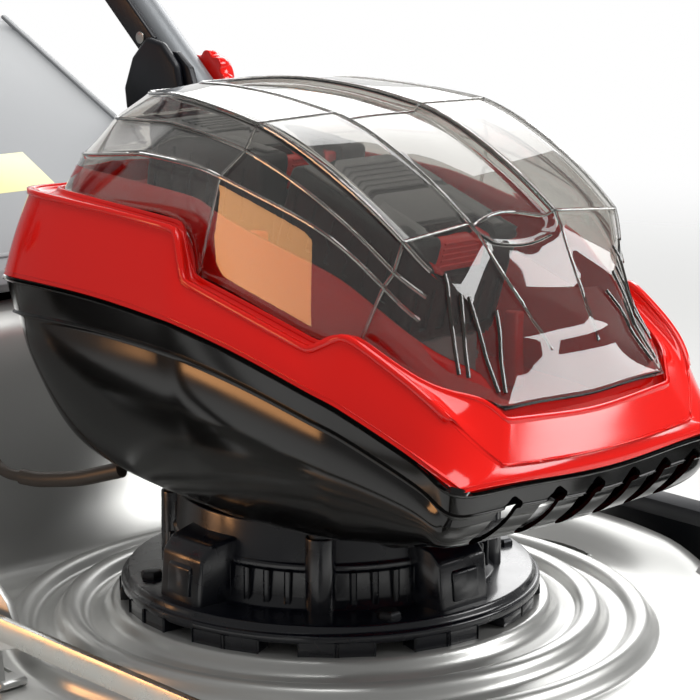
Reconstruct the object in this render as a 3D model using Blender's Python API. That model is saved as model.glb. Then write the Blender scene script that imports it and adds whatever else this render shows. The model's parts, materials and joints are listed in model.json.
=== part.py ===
"""A cordless rotary lawn mower with a steel deck and a battery hood, as its separate pieces.

All sizes are in millimetres. A place is given as x to the mower's right, forward from the blade's axis,
and height above the ground. The mower's front faces -Y.
"""

import math

import bmesh
import bpy
from mathutils import Matrix, Vector

MM = 0.001
SEAT = 0.3
RUN = 0.6

# Wheels and stance
FRONT_WHEEL_RADIUS = 95.0
REAR_WHEEL_RADIUS = 140.0
FRONT_WHEEL_FORWARD = 275.0
REAR_WHEEL_FORWARD = -350.0
WHEEL_WIDTH = 42.0
CRANK_REACH = 44.0
CRANK_RISE = 8.0
CRANK_THICK = 5.0
AXLE_RADIUS = 6.0
WHEEL_SIDES = 24
TIE_ARM = 30.0
TIE_PIN_RADIUS = 3.0
TIE_THICK = 4.0
STUD_RADIUS = 4.0

# Grass box, and the widths that follow from it
BOX_HALF_WIDTH = 154.0
BOX_WALL = 3.0
FLAP_HALF_WIDTH = BOX_HALF_WIDTH - 9.0
MOUTH_HALF_WIDTH = BOX_HALF_WIDTH + 6.0
TUNNEL_HALF_WIDTH = BOX_HALF_WIDTH + 33.0
TUBE_X = BOX_HALF_WIDTH + 35.0
DECK_HALF_WIDTH = TUNNEL_HALF_WIDTH + 13.0
CRANK_X = DECK_HALF_WIDTH + 3.0
WHEEL_INNER_X = CRANK_X + CRANK_THICK + 10.0

# Deck
DECK_HEIGHT = 150.0
SKIRT_BOTTOM = 38.0
SHEET = 2.5
CHAMBER_RADIUS = 250.0
DECK_FRONT = 298.0
TUNNEL_REAR = -425.0
TUNNEL_TOP = 300.0
MOUTH_BOTTOM = 172.0
MOTOR_BORE_RADIUS = 72.0
DECK_SIDES = 42

# Side discharge and height lever
SIDE_FLAP_BACK = -70.0
SIDE_FLAP_FRONT = 95.0
SIDE_ROD_X = 236.0
SIDE_ROD_HEIGHT = DECK_HEIGHT + 30.0
SIDE_ROD_RADIUS = 3.0
LEVER_PIVOT = (-60.0, DECK_HEIGHT + 10.0)
LEVER_TOP = (-118.0, DECK_HEIGHT + 168.0)
LEVER_HALF_WIDTH = 8.0

# Motor seat and drive
RIM_HEIGHT = DECK_HEIGHT + 34.0
RIM_RADIUS = 116.0
RIM_THICK = 9.0
TAB_DEPTH = 6.0
DRUM_RADIUS = 86.0
DRUM_HEIGHT = 46.0
MOTOR_RADIUS = 70.0
SHAFT_RADIUS = 8.0
BLADE_LENGTH = 470.0
BLADE_WIDTH = 48.0
BLADE_THICK = 3.0
BLADE_HEIGHT = 47.0

# Hood
HOOD_WALL = 3.5
LID_WALL = 2.5
TRAY_FLOOR = 104.0
TRAY_THICK = 3.0
PACK_WIDTH = 76.0
PACK_LENGTH = 98.0
PACK_DEPTH = 60.0
PACKS = (("battery_rear", -60.0, 233.0, 6.0), ("battery_front", 59.0, 211.0, 18.0))
KEY_PLACE = (17.0, -127.0)
KEY_SOCKET_TOP = 198.0
KEY_BOW_HEIGHT = KEY_SOCKET_TOP + 21.0
FRONT_SLOTS = (-64.0, -35.0, -8.5, 18.0, 43.0, 67.0)
LID_PIN_FORWARD = -151.0
LID_PIN_HEIGHT = 206.0
LID_PIN_RADIUS = 2.5

# Handle
PIVOT_FORWARD = -358.0
PIVOT_HEIGHT = 409.0
TUBE_RADIUS = 12.5
HANDLE_ANGLE = 39.7
LOWER_LENGTH = 440.0
UPPER_LENGTH = 480.0
CROSS_AT = 205.0
BRACKET_THICK = 5.0
GRIP_RADIUS = 16.0
BAIL_PIVOT = 64.0
CABLE_RADIUS = 3.2
CABLE_BELOW = 11.6

# Rear flap
FLAP_PIN_FORWARD = -247.0
FLAP_PIN_HEIGHT = 313.0
FLAP_ANGLE = 24.9
FLAP_LENGTH = 318.0
FLAP_PIN_RADIUS = 3.0

RISE = math.radians(HANDLE_ANGLE)
JOINT_FORWARD = PIVOT_FORWARD - LOWER_LENGTH * math.cos(RISE)
JOINT_HEIGHT = PIVOT_HEIGHT + LOWER_LENGTH * math.sin(RISE)
GRIP_FORWARD = JOINT_FORWARD - UPPER_LENGTH * math.cos(RISE)
GRIP_HEIGHT = JOINT_HEIGHT + UPPER_LENGTH * math.sin(RISE)
REACH_FRONT = FRONT_WHEEL_FORWARD + FRONT_WHEEL_RADIUS
REACH_REAR = GRIP_RADIUS - GRIP_FORWARD
BLADE_Y = (REACH_FRONT - REACH_REAR) / 2
PLATFORM = RIM_HEIGHT - RIM_THICK - TAB_DEPTH - SEAT
UPPER_TUBE_X = TUBE_X - 2 * TUBE_RADIUS - 2.0
WHEEL_CENTRE_X = WHEEL_INNER_X + WHEEL_WIDTH / 2
FRONT_CRANK = (FRONT_WHEEL_FORWARD - CRANK_REACH, FRONT_WHEEL_RADIUS + CRANK_RISE)
REAR_CRANK = (REAR_WHEEL_FORWARD - CRANK_REACH, REAR_WHEEL_RADIUS + CRANK_RISE)


def clear_scene():
    for old in list(bpy.data.objects):
        bpy.data.objects.remove(old, do_unlink=True)


def at(x, forward, height):
    """A place on the mower as a Blender vector in metres."""
    return Vector((x, BLADE_Y - forward, height)) * MM


def paint(colour, roughness, metallic=0.0, alpha=1.0):
    """A plain Principled material: colour is three numbers from 0 to 1."""
    name = "paint_%02x%02x%02x_%d" % (*(round(255 * c) for c in colour), round(100 * roughness))
    found = bpy.data.materials.get(name)
    if found:
        return found
    made = bpy.data.materials.new(name)
    made.use_nodes = True
    shader = made.node_tree.nodes["Principled BSDF"]
    shader.inputs["Base Color"].default_value = (*colour, 1.0)
    shader.inputs["Roughness"].default_value = roughness
    shader.inputs["Metallic"].default_value = metallic
    shader.inputs["Alpha"].default_value = alpha
    return made


RED = ((0.72, 0.012, 0.007), 0.18)
GLOSS_BLACK = ((0.012, 0.012, 0.011), 0.2)
SATIN_BLACK = ((0.012, 0.013, 0.016), 0.45)
RUBBER = ((0.02, 0.02, 0.02), 0.8)
DECK_SILVER = ((0.5, 0.5, 0.49), 0.25, 0.6)
BRIGHT_STEEL = ((0.55, 0.55, 0.55), 0.3, 1.0)
DARK_STEEL = ((0.12, 0.12, 0.13), 0.4, 0.8)
GREY_TUBE = ((0.22, 0.23, 0.24), 0.35, 0.4)
GREY_PLASTIC = ((0.32, 0.33, 0.34), 0.5)
CLEAR_SMOKE = ((0.75, 0.74, 0.72), 0.05, 0.0, 0.35)


def keep(name, shape, finish, sharp=32.0):
    """Turns a bmesh into a named object with its own copy of the finish."""
    bmesh.ops.remove_doubles(shape, verts=shape.verts, dist=2e-6)
    bmesh.ops.recalc_face_normals(shape, faces=shape.faces)
    mesh = bpy.data.meshes.new(name)
    shape.to_mesh(mesh)
    shape.free()
    mesh.shade_smooth()
    mesh.set_sharp_from_angle(angle=math.radians(sharp))
    made = bpy.data.objects.new(name, mesh)
    bpy.context.scene.collection.objects.link(made)
    made.data.materials.append(paint(*finish))
    return made


def guide(name, shape):
    """A cutter or filler that the build leaves out."""
    made = keep(name, shape, GREY_PLASTIC)
    made.hide_render = True
    made.display_type = "WIRE"
    return made


def combine(body, other, way):
    """Adds a Boolean: way is UNION, DIFFERENCE or INTERSECT."""
    step = body.modifiers.new(way.lower() + "_" + other.name, "BOOLEAN")
    step.operation = way
    step.object = other
    return body


def loft(rings, first_cap=True, last_cap=True, round_trip=False):
    """A skin over rings that have the same number of points."""
    shape = bmesh.new()
    rows = [[shape.verts.new(point) for point in ring] for ring in rings]
    pairs = list(zip(rows, rows[1:]))
    if round_trip:
        pairs.append((rows[-1], rows[0]))
    for low, high in pairs:
        for i in range(len(low)):
            j = (i + 1) % len(low)
            shape.faces.new((low[i], low[j], high[j], high[i]))
    if not round_trip:
        ends = [row for row, cap in ((rows[0], first_cap), (rows[-1], last_cap)) if cap]
        for row in ends:
            shape.faces.new(row)
    bmesh.ops.recalc_face_normals(shape, faces=shape.faces)
    return shape


def turned(profile, centre, axis="Z", sides=32):
    """Spins a closed profile of (radius, along) points about an axis through centre."""
    shape = bmesh.new()
    verts = [shape.verts.new((radius * MM, 0.0, along * MM)) for radius, along in profile]
    edges = [shape.edges.new((a, b)) for a, b in zip(verts, verts[1:])]
    if profile[0][0] > 0 or profile[-1][0] > 0:
        edges.append(shape.edges.new((verts[-1], verts[0])))
    bmesh.ops.spin(
        shape, geom=verts + edges, axis=(0, 0, 1), cent=(0, 0, 0),
        angle=2 * math.pi, steps=sides, use_merge=True, use_duplicate=False,
    )
    bmesh.ops.remove_doubles(shape, verts=shape.verts, dist=2e-6)
    turn = {"Z": Matrix(), "X": Matrix.Rotation(math.pi / 2, 4, "Y"), "Y": Matrix.Rotation(-math.pi / 2, 4, "X")}
    shape.transform(Matrix.Translation(centre) @ turn[axis])
    return shape


def disc(radius, low, high, centre, axis="Z", sides=24):
    """A plain round rod or disc."""
    shape = bmesh.new()
    bmesh.ops.create_cone(
        shape, cap_ends=True, segments=sides, radius1=radius * MM, radius2=radius * MM, depth=(high - low) * MM,
    )
    shape.transform(Matrix.Translation((0, 0, (low + high) / 2 * MM)))
    turn = {"Z": Matrix(), "X": Matrix.Rotation(math.pi / 2, 4, "Y"), "Y": Matrix.Rotation(-math.pi / 2, 4, "X")}
    shape.transform(Matrix.Translation(centre) @ turn[axis])
    return shape


def block(x, forward, height, edge=0.0):
    """A box between pairs of limits, with its edges eased."""
    shape = bmesh.new()
    bmesh.ops.create_cube(shape, size=1.0)
    low = at(x[0], forward[1], height[0])
    high = at(x[1], forward[0], height[1])
    span = high - low
    shape.transform(Matrix.Translation((low + high) / 2) @ Matrix.Diagonal((*span, 1.0)))
    ease(shape, edge)
    return shape


def ease(shape, edge, segments=1, angle=30.0):
    """Bevels the edges that turn by more than the angle."""
    if edge <= 0:
        return shape
    sharp = [e for e in shape.edges if e.calc_face_angle(0.0) > math.radians(angle)]
    bmesh.ops.bevel(
        shape, geom=sharp, offset=edge * MM, segments=segments, profile=0.5,
        affect="EDGES", clamp_overlap=True, material=-1,
    )
    return shape


def slab(outline, x, edge=0.0):
    """A side outline of (forward, height) points pushed through from one x to the other."""
    rings = [[at(side, forward, height) for forward, height in outline] for side in x]
    return ease(loft(rings), edge)


def plate(outline, height, edge=0.0):
    """A plan outline of (x, forward) points between two heights."""
    rings = [[at(x, forward, level) for x, forward in outline] for level in height]
    return ease(loft(rings), edge)


def rounded_route(points, radius, steps=4):
    """Replaces each corner of a route by an arc of points."""
    route = [points[0]]
    for before, corner, after in zip(points, points[1:], points[2:]):
        back = (before - corner).normalized()
        ahead = (after - corner).normalized()
        half = back.angle(ahead) / 2
        cut = min(radius * MM / math.tan(half), (before - corner).length / 2.1, (after - corner).length / 2.1)
        start, end = corner + back * cut, corner + ahead * cut
        for i in range(steps + 1):
            t = i / steps
            route.append(start * (1 - t) ** 2 + corner * 2 * t * (1 - t) + end * t ** 2)
    route.append(points[-1])
    return route


def tube(name, points, radius, finish, sides=2):
    """A round bar or tube bent along a route of vectors."""
    curve = bpy.data.curves.new(name, "CURVE")
    curve.dimensions = "3D"
    curve.bevel_depth = radius * MM
    curve.bevel_resolution = sides
    curve.use_fill_caps = True
    line = curve.splines.new("POLY")
    line.points.add(len(points) - 1)
    for spot, point in zip(line.points, points):
        spot.co = (*point, 1.0)
    curve.materials.append(paint(*finish))
    made = bpy.data.objects.new(name, curve)
    bpy.context.scene.collection.objects.link(made)
    return made


def solid_tube(points, radius, sides=12):
    """The same bent bar as a bmesh, so that a Boolean can join it."""
    shape = bmesh.new()
    rows = []
    side = Vector((1, 0, 0))
    for i, point in enumerate(points):
        ahead = points[min(i + 1, len(points) - 1)] - points[max(i - 1, 0)]
        ahead.normalize()
        if abs(ahead.dot(side)) > 0.9:
            side = Vector((0, 0, 1))
        across = (side - ahead * side.dot(ahead)).normalized()
        up = ahead.cross(across)
        side = across
        turns = [2 * math.pi * k / sides for k in range(sides)]
        ring = [point + (across * math.cos(t) + up * math.sin(t)) * radius * MM for t in turns]
        rows.append([shape.verts.new(spot) for spot in ring])
    for low, high in zip(rows, rows[1:]):
        for i in range(sides):
            j = (i + 1) % sides
            shape.faces.new((low[i], low[j], high[j], high[i]))
    for row in (rows[0], rows[-1]):
        shape.faces.new(row)
    bmesh.ops.recalc_face_normals(shape, faces=shape.faces)
    return shape


# Deck: a round cutting chamber pressed together with a long body, and the discharge tunnel at the back

def deck_radius(angle, chamber, half_width, front):
    """Distance from the blade's axis to the deck's outline: the larger of a circle and a rounded rectangle."""
    side, ahead = abs(math.sin(angle)), math.cos(angle)
    reach = front if ahead > 0 else chamber
    body = ((side / half_width) ** 7 + (abs(ahead) / reach) ** 7) ** (-1 / 7)
    return (chamber ** 18 + body ** 18) ** (1 / 18)


def deck_ring(height, chamber=None, half_width=None, front=None, radius=None, lift=0.0):
    """One loop round the deck; lift raises the right side towards the side discharge."""
    ring = []
    for k in range(DECK_SIDES):
        angle = 2 * math.pi * k / DECK_SIDES
        reach = radius if radius else deck_radius(angle, chamber, half_width, front)
        x, forward = reach * math.sin(angle), reach * math.cos(angle)
        swell = max(0.0, min(1.0, (x - 150.0) / 70.0)) * max(0.0, 1.0 - (forward / 190.0) ** 2)
        ring.append(at(x, forward, height + lift * swell * swell * (3 - 2 * swell)))
    return ring


def deck_pan(inward, seat_rings, bored=False):
    """The round part of the deck as a solid, drawn in by inward on every side."""
    chamber, half, front = CHAMBER_RADIUS - inward, DECK_HALF_WIDTH - inward, DECK_FRONT - inward
    skirt, top = SKIRT_BOTTOM - 10.0 * (inward > 0), DECK_HEIGHT - inward
    rings = [
        deck_ring(skirt, chamber, half, front),
        deck_ring(105.0, chamber - 3, half - 3, front - 6),
        deck_ring(top - 14, chamber - 12, half - 9, front - 14, lift=14.0),
        deck_ring(top - 3, chamber - 23, half - 19, front - 26, lift=22.0),
        deck_ring(top, CHAMBER_RADIUS - 44, DECK_HALF_WIDTH - 34, DECK_FRONT - 46, lift=19.0),
    ]
    for radius, height in seat_rings:
        rings.append(deck_ring(height - inward, radius=radius))
    return loft(rings, round_trip=bored)


TUNNEL_OUTLINE = (
    (-120.0, 90.0), (-130.0, DECK_HEIGHT - 1), (-178.0, DECK_HEIGHT + 1), (-196.0, DECK_HEIGHT + 26),
    (-222.0, 262.0), (-234.0, TUNNEL_TOP - 10), (-250.0, TUNNEL_TOP), (-300.0, TUNNEL_TOP), (-400.0, 232.0),
    (TUNNEL_REAR, 205.0), (TUNNEL_REAR, 112.0), (-260.0, 60.0),
)
TUNNEL_INSIDE = (
    (-100.0, 20.0), (-125.0, DECK_HEIGHT - 7), (-181.0, DECK_HEIGHT - 2.5), (-198.8, DECK_HEIGHT + 26),
    (-224.8, 262.0), (-236.0, TUNNEL_TOP - 12.2), (-250.0, TUNNEL_TOP - SHEET), (-299.0, TUNNEL_TOP - SHEET),
    (-398.7, 229.5), (TUNNEL_REAR - 20.0, 201.0), (TUNNEL_REAR - 20.0, 20.0),
)


def make_deck():
    beads = [
        (182.0, DECK_HEIGHT), (175.5, PLATFORM - 9.5), (168.0, PLATFORM - 9.5), (162.0, PLATFORM - 12.5),
        (155.0, PLATFORM - 11.5), (148.5, PLATFORM - 4.5), (140.0, PLATFORM - 4.5), (133.5, PLATFORM - 8.5),
        (126.0, PLATFORM - 7.5), (120.5, PLATFORM), (MOTOR_BORE_RADIUS, PLATFORM), (MOTOR_BORE_RADIUS, SKIRT_BOTTOM),
    ]
    plain = [(182.0, DECK_HEIGHT), (162.0, PLATFORM - 13.0), (126.0, PLATFORM - 8.5), (117.0, PLATFORM)]
    deck = keep("deck_shell", deck_pan(0.0, beads, bored=True), DECK_SILVER)
    half = TUNNEL_HALF_WIDTH
    combine(deck, guide("tunnel_outside", slab(TUNNEL_OUTLINE, (-half, half), 12.0)), "UNION")
    combine(deck, guide("pan_inside", deck_pan(SHEET, plain)), "DIFFERENCE")
    combine(deck, guide("tunnel_inside", slab(TUNNEL_INSIDE, (SHEET - half, half - SHEET), 10.0)), "DIFFERENCE")
    mouth = block(
        (-MOUTH_HALF_WIDTH, MOUTH_HALF_WIDTH), (TUNNEL_REAR - 60, FLAP_PIN_FORWARD - 7),
        (MOUTH_BOTTOM - 40, TUNNEL_TOP + 40))
    combine(deck, guide("mouth_cut", mouth), "DIFFERENCE")
    side = block((210.0, 300.0), (SIDE_FLAP_BACK + 8, SIDE_FLAP_FRONT - 8), (66.0, DECK_HEIGHT - 18))
    combine(deck, guide("side_discharge_cut", side), "DIFFERENCE")
    for name, crank in (("front", FRONT_CRANK), ("rear", REAR_CRANK)):
        hole = disc(AXLE_RADIUS + RUN, -260, 260, at(0, *crank), "X", 10)
        combine(deck, guide(name + "_axle_bore", hole), "DIFFERENCE")
    return deck


# Side discharge: a black flap on a bright rod along the deck's right side

def make_side_flap():
    inner, outer = SIDE_ROD_X - 7.5, SIDE_ROD_X + 40.0
    rod_level, knee, hem = SIDE_ROD_HEIGHT, DECK_HEIGHT - 22, 70.0
    profile = (
        (inner, rod_level + 3), (inner + 9, rod_level + 6.5), (inner + 17, rod_level + 1), (outer - 19, knee),
        (outer - 12, hem), (outer - 16, hem), (outer - 24, knee - 2), (inner + 10, rod_level - 10),
        (inner, rod_level - 6),
    )
    rings = [[at(x, forward, z) for x, z in profile] for forward in (SIDE_FLAP_BACK, SIDE_FLAP_FRONT)]
    flap = keep("side_flap", loft(rings), SATIN_BLACK)
    reach = SIDE_FLAP_FRONT - SIDE_FLAP_BACK + 40
    bore = disc(SIDE_ROD_RADIUS + SEAT, -reach / 2, reach / 2, at(SIDE_ROD_X, 0, SIDE_ROD_HEIGHT), "Y", 16)
    combine(flap, guide("side_rod_bore", bore), "DIFFERENCE")
    ends = (BLADE_Y - SIDE_FLAP_FRONT - 14, BLADE_Y - SIDE_FLAP_BACK + 14)
    rod = disc(SIDE_ROD_RADIUS, -ends[1], -ends[0], Vector((SIDE_ROD_X * MM, 0, SIDE_ROD_HEIGHT * MM)), "Y", 12)
    rod.transform(Matrix.Diagonal((1, -1, 1, 1)))
    keep("side_flap_rod", rod, BRIGHT_STEEL)
    deck = bpy.data.objects["deck_shell"]
    for name, end in (("back", SIDE_FLAP_BACK - 10.0), ("front", SIDE_FLAP_FRONT + 3.0)):
        outline = (
            (SIDE_ROD_X - 46, DECK_HEIGHT + 2), (SIDE_ROD_X - 6, rod_level + 10), (SIDE_ROD_X + 6, rod_level + 10),
            (SIDE_ROD_X + 8, rod_level - 12), (SIDE_ROD_X - 4, DECK_HEIGHT - 40))
        ear = loft([[at(x, forward, z) for x, z in outline] for forward in (end, end + 7.0)])
        combine(deck, guide("side_flap_ear_" + name, ear), "UNION")
        bore = disc(SIDE_ROD_RADIUS + RUN, -30, 30, at(SIDE_ROD_X, end, SIDE_ROD_HEIGHT), "Y", 8)
        combine(deck, guide("side_ear_bore_" + name, bore), "DIFFERENCE")


# Motor seat, motor and blade

def make_flange():
    top, drum = RIM_HEIGHT, RIM_HEIGHT + DRUM_HEIGHT
    low = top - RIM_THICK
    profile = (
        (78.0, low), (RIM_RADIUS - 12, low), (RIM_RADIUS, low), (RIM_RADIUS, top - 2), (RIM_RADIUS - 3, top),
        (DRUM_RADIUS + 5, top + 1), (DRUM_RADIUS, top + 6), (DRUM_RADIUS - 2, drum),
        (20.0, drum), (20.0, drum - 4), (78.0, drum - 4),
    )
    shape = turned(profile, at(0, 0, 0), sides=36)
    shape.faces.ensure_lookup_table()
    under = [
        f for f in shape.faces
        if abs(f.calc_center_median().z - low * MM) < 1e-5 and f.calc_center_median().xy.length > 0
        and (f.calc_center_median() - at(0, 0, low)).length > (RIM_RADIUS - 10) * MM
    ]
    under.sort(key=lambda f: math.atan2(*(f.calc_center_median() - at(0, 0, low)).xy))
    picked = [f for i, f in enumerate(under) if i % 3 != 0]
    made = bmesh.ops.extrude_face_region(shape, geom=picked)
    bmesh.ops.translate(
        shape, verts=[v for v in made["geom"] if isinstance(v, bmesh.types.BMVert)], vec=(0, 0, -TAB_DEPTH * MM))
    bmesh.ops.delete(shape, geom=picked, context="FACES")
    flange = keep("motor_flange", shape, SATIN_BLACK)
    for k in range(4):
        turn = Matrix.Translation(at(0, 0, 0)) @ Matrix.Rotation(k * math.pi / 2, 4, "Z")
        outline = (
            (76.0, 20.0, top - 4), (107.0, 17.0, top - 4), (104.0, 17.0, top + 26), (98.0, 17.0, top + 32),
            (76.0, 20.0, top + 36))
        rib = loft([[Vector((r, side * half, z)) * MM for r, half, z in outline] for side in (-1, 1)])
        rib.transform(turn)
        combine(flange, guide("seat_block_%d" % k, rib), "UNION")
        spot = turn @ Matrix.Rotation(math.pi / 4, 4, "Z") @ Vector((DRUM_RADIUS * MM, 0, 0))
        post = disc(8.0, top - 4, drum - 6, spot, sides=10)
        combine(flange, guide("seat_post_%d" % k, post), "UNION")
    bore, lid_low = SHAFT_RADIUS + SEAT, drum - 4 - SEAT
    keep("motor_can", turned((
        (bore, low - 4), (MOTOR_RADIUS - 6, low - 4), (MOTOR_RADIUS, low + 2), (MOTOR_RADIUS, drum - 12),
        (MOTOR_RADIUS - 8, lid_low), (bore, lid_low)), at(0, 0, 0), sides=24), DARK_STEEL)


def make_rotor():
    hub_low = BLADE_HEIGHT + BLADE_THICK + SEAT
    shaft = disc(SHAFT_RADIUS, hub_low + 12, RIM_HEIGHT + DRUM_HEIGHT - 8, at(0, 0, 0), sides=16)
    keep("rotor_shaft", shaft, BRIGHT_STEEL)
    bore = SHAFT_RADIUS + SEAT
    keep("blade_adapter", turned((
        (bore, hub_low), (34.0, hub_low), (34.0, hub_low + 7), (22.0, hub_low + 14), (19.0, hub_low + 48),
        (bore, hub_low + 48)), at(0, 0, 0), sides=16), GREY_PLASTIC)
    keep("blade", blade_bar(), BRIGHT_STEEL)


def blade_bar():
    """A flat bar with ground leading edges and trailing wings bent up, the same after half a turn."""
    half, wide = BLADE_LENGTH / 2, BLADE_WIDTH / 2
    rings = []
    for k in range(-6, 7):
        x = k * half / 6
        wing = max(0.0, abs(k) / 6 - 0.6) / 0.4 * 16.0
        ground = min(1.0, max(0.0, abs(k) - 2.0)) * (BLADE_THICK - 0.6)
        front_edge = (wing, 0.0) if k < 0 else (0.0, ground)
        back_edge = (0.0, ground) if k < 0 else (wing, 0.0)
        rings.append([
            at(x, -wide, BLADE_HEIGHT + back_edge[0]),
            at(x, wide, BLADE_HEIGHT + front_edge[0]),
            at(x, wide, BLADE_HEIGHT + BLADE_THICK + front_edge[0] - front_edge[1]),
            at(x, wide - 11, BLADE_HEIGHT + BLADE_THICK),
            at(x, 11 - wide, BLADE_HEIGHT + BLADE_THICK),
            at(x, -wide, BLADE_HEIGHT + BLADE_THICK + back_edge[0] - back_edge[1]),
        ])
    return loft(rings)


def make_blade_bolt():
    hub_low = BLADE_HEIGHT + BLADE_THICK + SEAT
    shank = SHAFT_RADIUS - 2
    head = turned((
        (0.0, BLADE_HEIGHT - 12), (10.0, BLADE_HEIGHT - 12), (11.0, BLADE_HEIGHT - 10), (11.0, BLADE_HEIGHT - 4),
        (20.0, BLADE_HEIGHT - 4), (20.0, BLADE_HEIGHT - SEAT), (shank, BLADE_HEIGHT - SEAT),
        (shank, hub_low + 12 - SEAT), (0.0, hub_low + 12 - SEAT)), at(0, 0, 0), sides=12)
    keep("blade_bolt", head, DARK_STEEL)
    hole = disc(shank + SEAT, BLADE_HEIGHT - 5, BLADE_HEIGHT + 8, at(0, 0, 0), sides=16)
    combine(bpy.data.objects["blade"], guide("blade_hole", hole), "DIFFERENCE")


# Hood: fifteen stations a side, from the rear centre round to the front centre, as (x, forward, above the rim)

SEAM = (
    (0, -165, 151), (56, -164, 152), (101, -152, 154), (114, -115, 156.5), (117, -55, 157), (118.5, -2, 154),
    (119, 14, 153), (118, 62, 146), (114, 112, 134), (111, 130, 129), (103, 163, 115), (99, 182, 106),
    (95, 197, 98), (60, 200.5, 98), (0, 203, 95),
)
CREASE = (
    (0, -157, 197), (52, -156, 198), (87, -148, 200), (99, -115, 201), (103, -55, 200), (104, -2, 197),
    (110, 13, 174), (111, 60, 164), (107, 104, 153), (101, 126, 161), (92, 168, 140), (80, 187, 119),
    (68, 198, 106), (36, 201, 104), (0, 202.5, 103),
)
LIP = (
    (0, -149, 199), (46, -148, 200), (77, -140, 202), (89, -112, 203), (93, -55, 202), (94, -9, 199.5),
    (100, 9, 176), (101, 60, 166), (97, 101, 155.5), (91, 123, 160), (81, 161, 142), (66, 180, 137),
    (57, 190.5, 127), (30, 192, 125), (0, 193, 123.5),
)
LEDGE = (
    (0, -140, 222), (43, -139, 223), (69, -130, 229), (81, -100, 236), (85, -50, 235), (86, -9, 230),
    (86, 8, 227.5), (84, 60, 211), (81, 98, 197), (79, 117, 189), (73, 146, 173), (63, 165, 159),
    (53, 174, 151), (28, 179, 148), (0, 180, 147),
)
BEVEL = (
    (0, -128, 240), (38, -127, 241), (60, -116, 247), (68, -85, 253), (70, -48, 251.5), (70, -9, 244.5),
    (69, 10, 239), (65, 58, 222), (58, 98, 204.5), (54, 113, 198), (53, 133, 184.5), (50, 146, 176),
    (44, 150, 174), (24, 153, 172), (0, 154, 171),
)
RIDGE = (
    (0, -112, 253), (32, -110, 254.5), (50, -98, 258.5), (58, -76, 262), (60, -50, 261.5), (60, -10, 254),
    (60, 10, 249.5), (56, 58, 230), (52, 96, 208.5), (50, 111, 200.5), (49.5, 131, 187), (46, 138, 184),
    (41, 141, 182), (22, 145, 179), (0, 146, 177.5),
)
CROWN = (
    (0, -96, 260), (15, -95, 260.5), (25, -87, 263), (29, -72, 266), (30, -50, 267), (30, -10, 261.5),
    (29, 10, 257), (27, 58, 237.5), (25, 94, 214.5), (24, 109, 205.5), (22, 124, 196), (19, 129, 192.5),
    (15, 132, 190), (8, 135, 187.5), (0, 136, 186.5),
)
SPINE = (
    (0, -92, 261.5), (0, -88, 262.5), (0, -82, 264.5), (0, -70, 267), (0, -50, 268.5), (0, -10, 263.5),
    (0, 10, 259), (0, 58, 239), (0, 93, 216), (0, 108, 207), (0, 121, 198), (0, 125, 195),
    (0, 128, 192.5), (0, 131, 190), (0, 133, 188.5),
)


def drawn_in(half, inset, drop=0.0):
    """A half ring moved towards the inside in plan, and down."""
    moved = []
    last = len(half) - 1
    for i, (x, forward, z) in enumerate(half):
        before = half[i - 1] if i else (-half[1][0], *half[1][1:])
        after = half[i + 1] if i < last else (-half[last - 1][0], *half[last - 1][1:])
        along = Vector((after[0] - before[0], after[1] - before[1]))
        inward = Vector((-along.y, along.x)).normalized() * inset
        moved.append((max(0.0, x + inward.x) if i not in (0, last) else 0.0, forward + inward.y, z - drop))
    return tuple(moved)


def hood_ring(half):
    """A whole ring from its right half."""
    right = [at(x, forward, RIM_HEIGHT + z) for x, forward, z in half]
    left = [at(-x, forward, RIM_HEIGHT + z) for x, forward, z in half[-2:0:-1]]
    return right + left


def lower_level(widen, lengthen, shift, height):
    """A level of the lower housing, shrunk from the seam."""
    return tuple((x * widen, forward * lengthen + shift, height(forward, z)) for x, forward, z in SEAM)


def lower_levels():
    band = lower_level(0.97, 0.975, 0.5, lambda f, z: z - 22 + 8 * (f + 165) / 368)
    bulge = lower_level(0.94, 0.905, 5.0, lambda f, z: 0.57 * z + 14)
    edge = lower_level(0.74, 0.80, 5.0, lambda f, z: 48 + 13 * ((f - 20) / 185) ** 2)
    foot = lower_level(0.62, 0.56, 8.0, lambda f, z: DRUM_HEIGHT + SEAT)
    return band, bulge, edge, foot


def make_lower_housing():
    band, bulge, edge, foot = lower_levels()
    wall = HOOD_WALL
    inside = [
        drawn_in(SEAM, wall), drawn_in(bulge, wall, -1.0), drawn_in(edge, wall, -wall), drawn_in(foot, 2.0, -wall)]
    rings = [hood_ring(half) for half in (foot, edge, bulge, band, SEAM, *inside)]
    shape = loft(rings)
    bmesh.ops.triangulate(shape, faces=shape.faces)
    housing = keep("lower_housing", shape, GLOSS_BLACK)
    for k, x in enumerate(FRONT_SLOTS):
        slot = block((-3.5, 3.5), (-14, 22), (-15, 15))
        slot.transform(Matrix.Translation(-at(0, 0, 0)))
        lean = Matrix.Rotation(math.radians(34), 4, "Y")
        slot.transform(Matrix.Translation(at(x, 186 - 0.0016 * x * x, RIM_HEIGHT + 77)) @ lean)
        combine(housing, guide("front_slot_%d" % k, slot), "DIFFERENCE")
    return housing


def cover_underside():
    """The under face of the red cover's step, as its inner and outer half rings."""
    return drawn_in(LIP, 0.0, HOOD_WALL), drawn_in(CREASE, HOOD_WALL, HOOD_WALL + 1.5)


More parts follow.
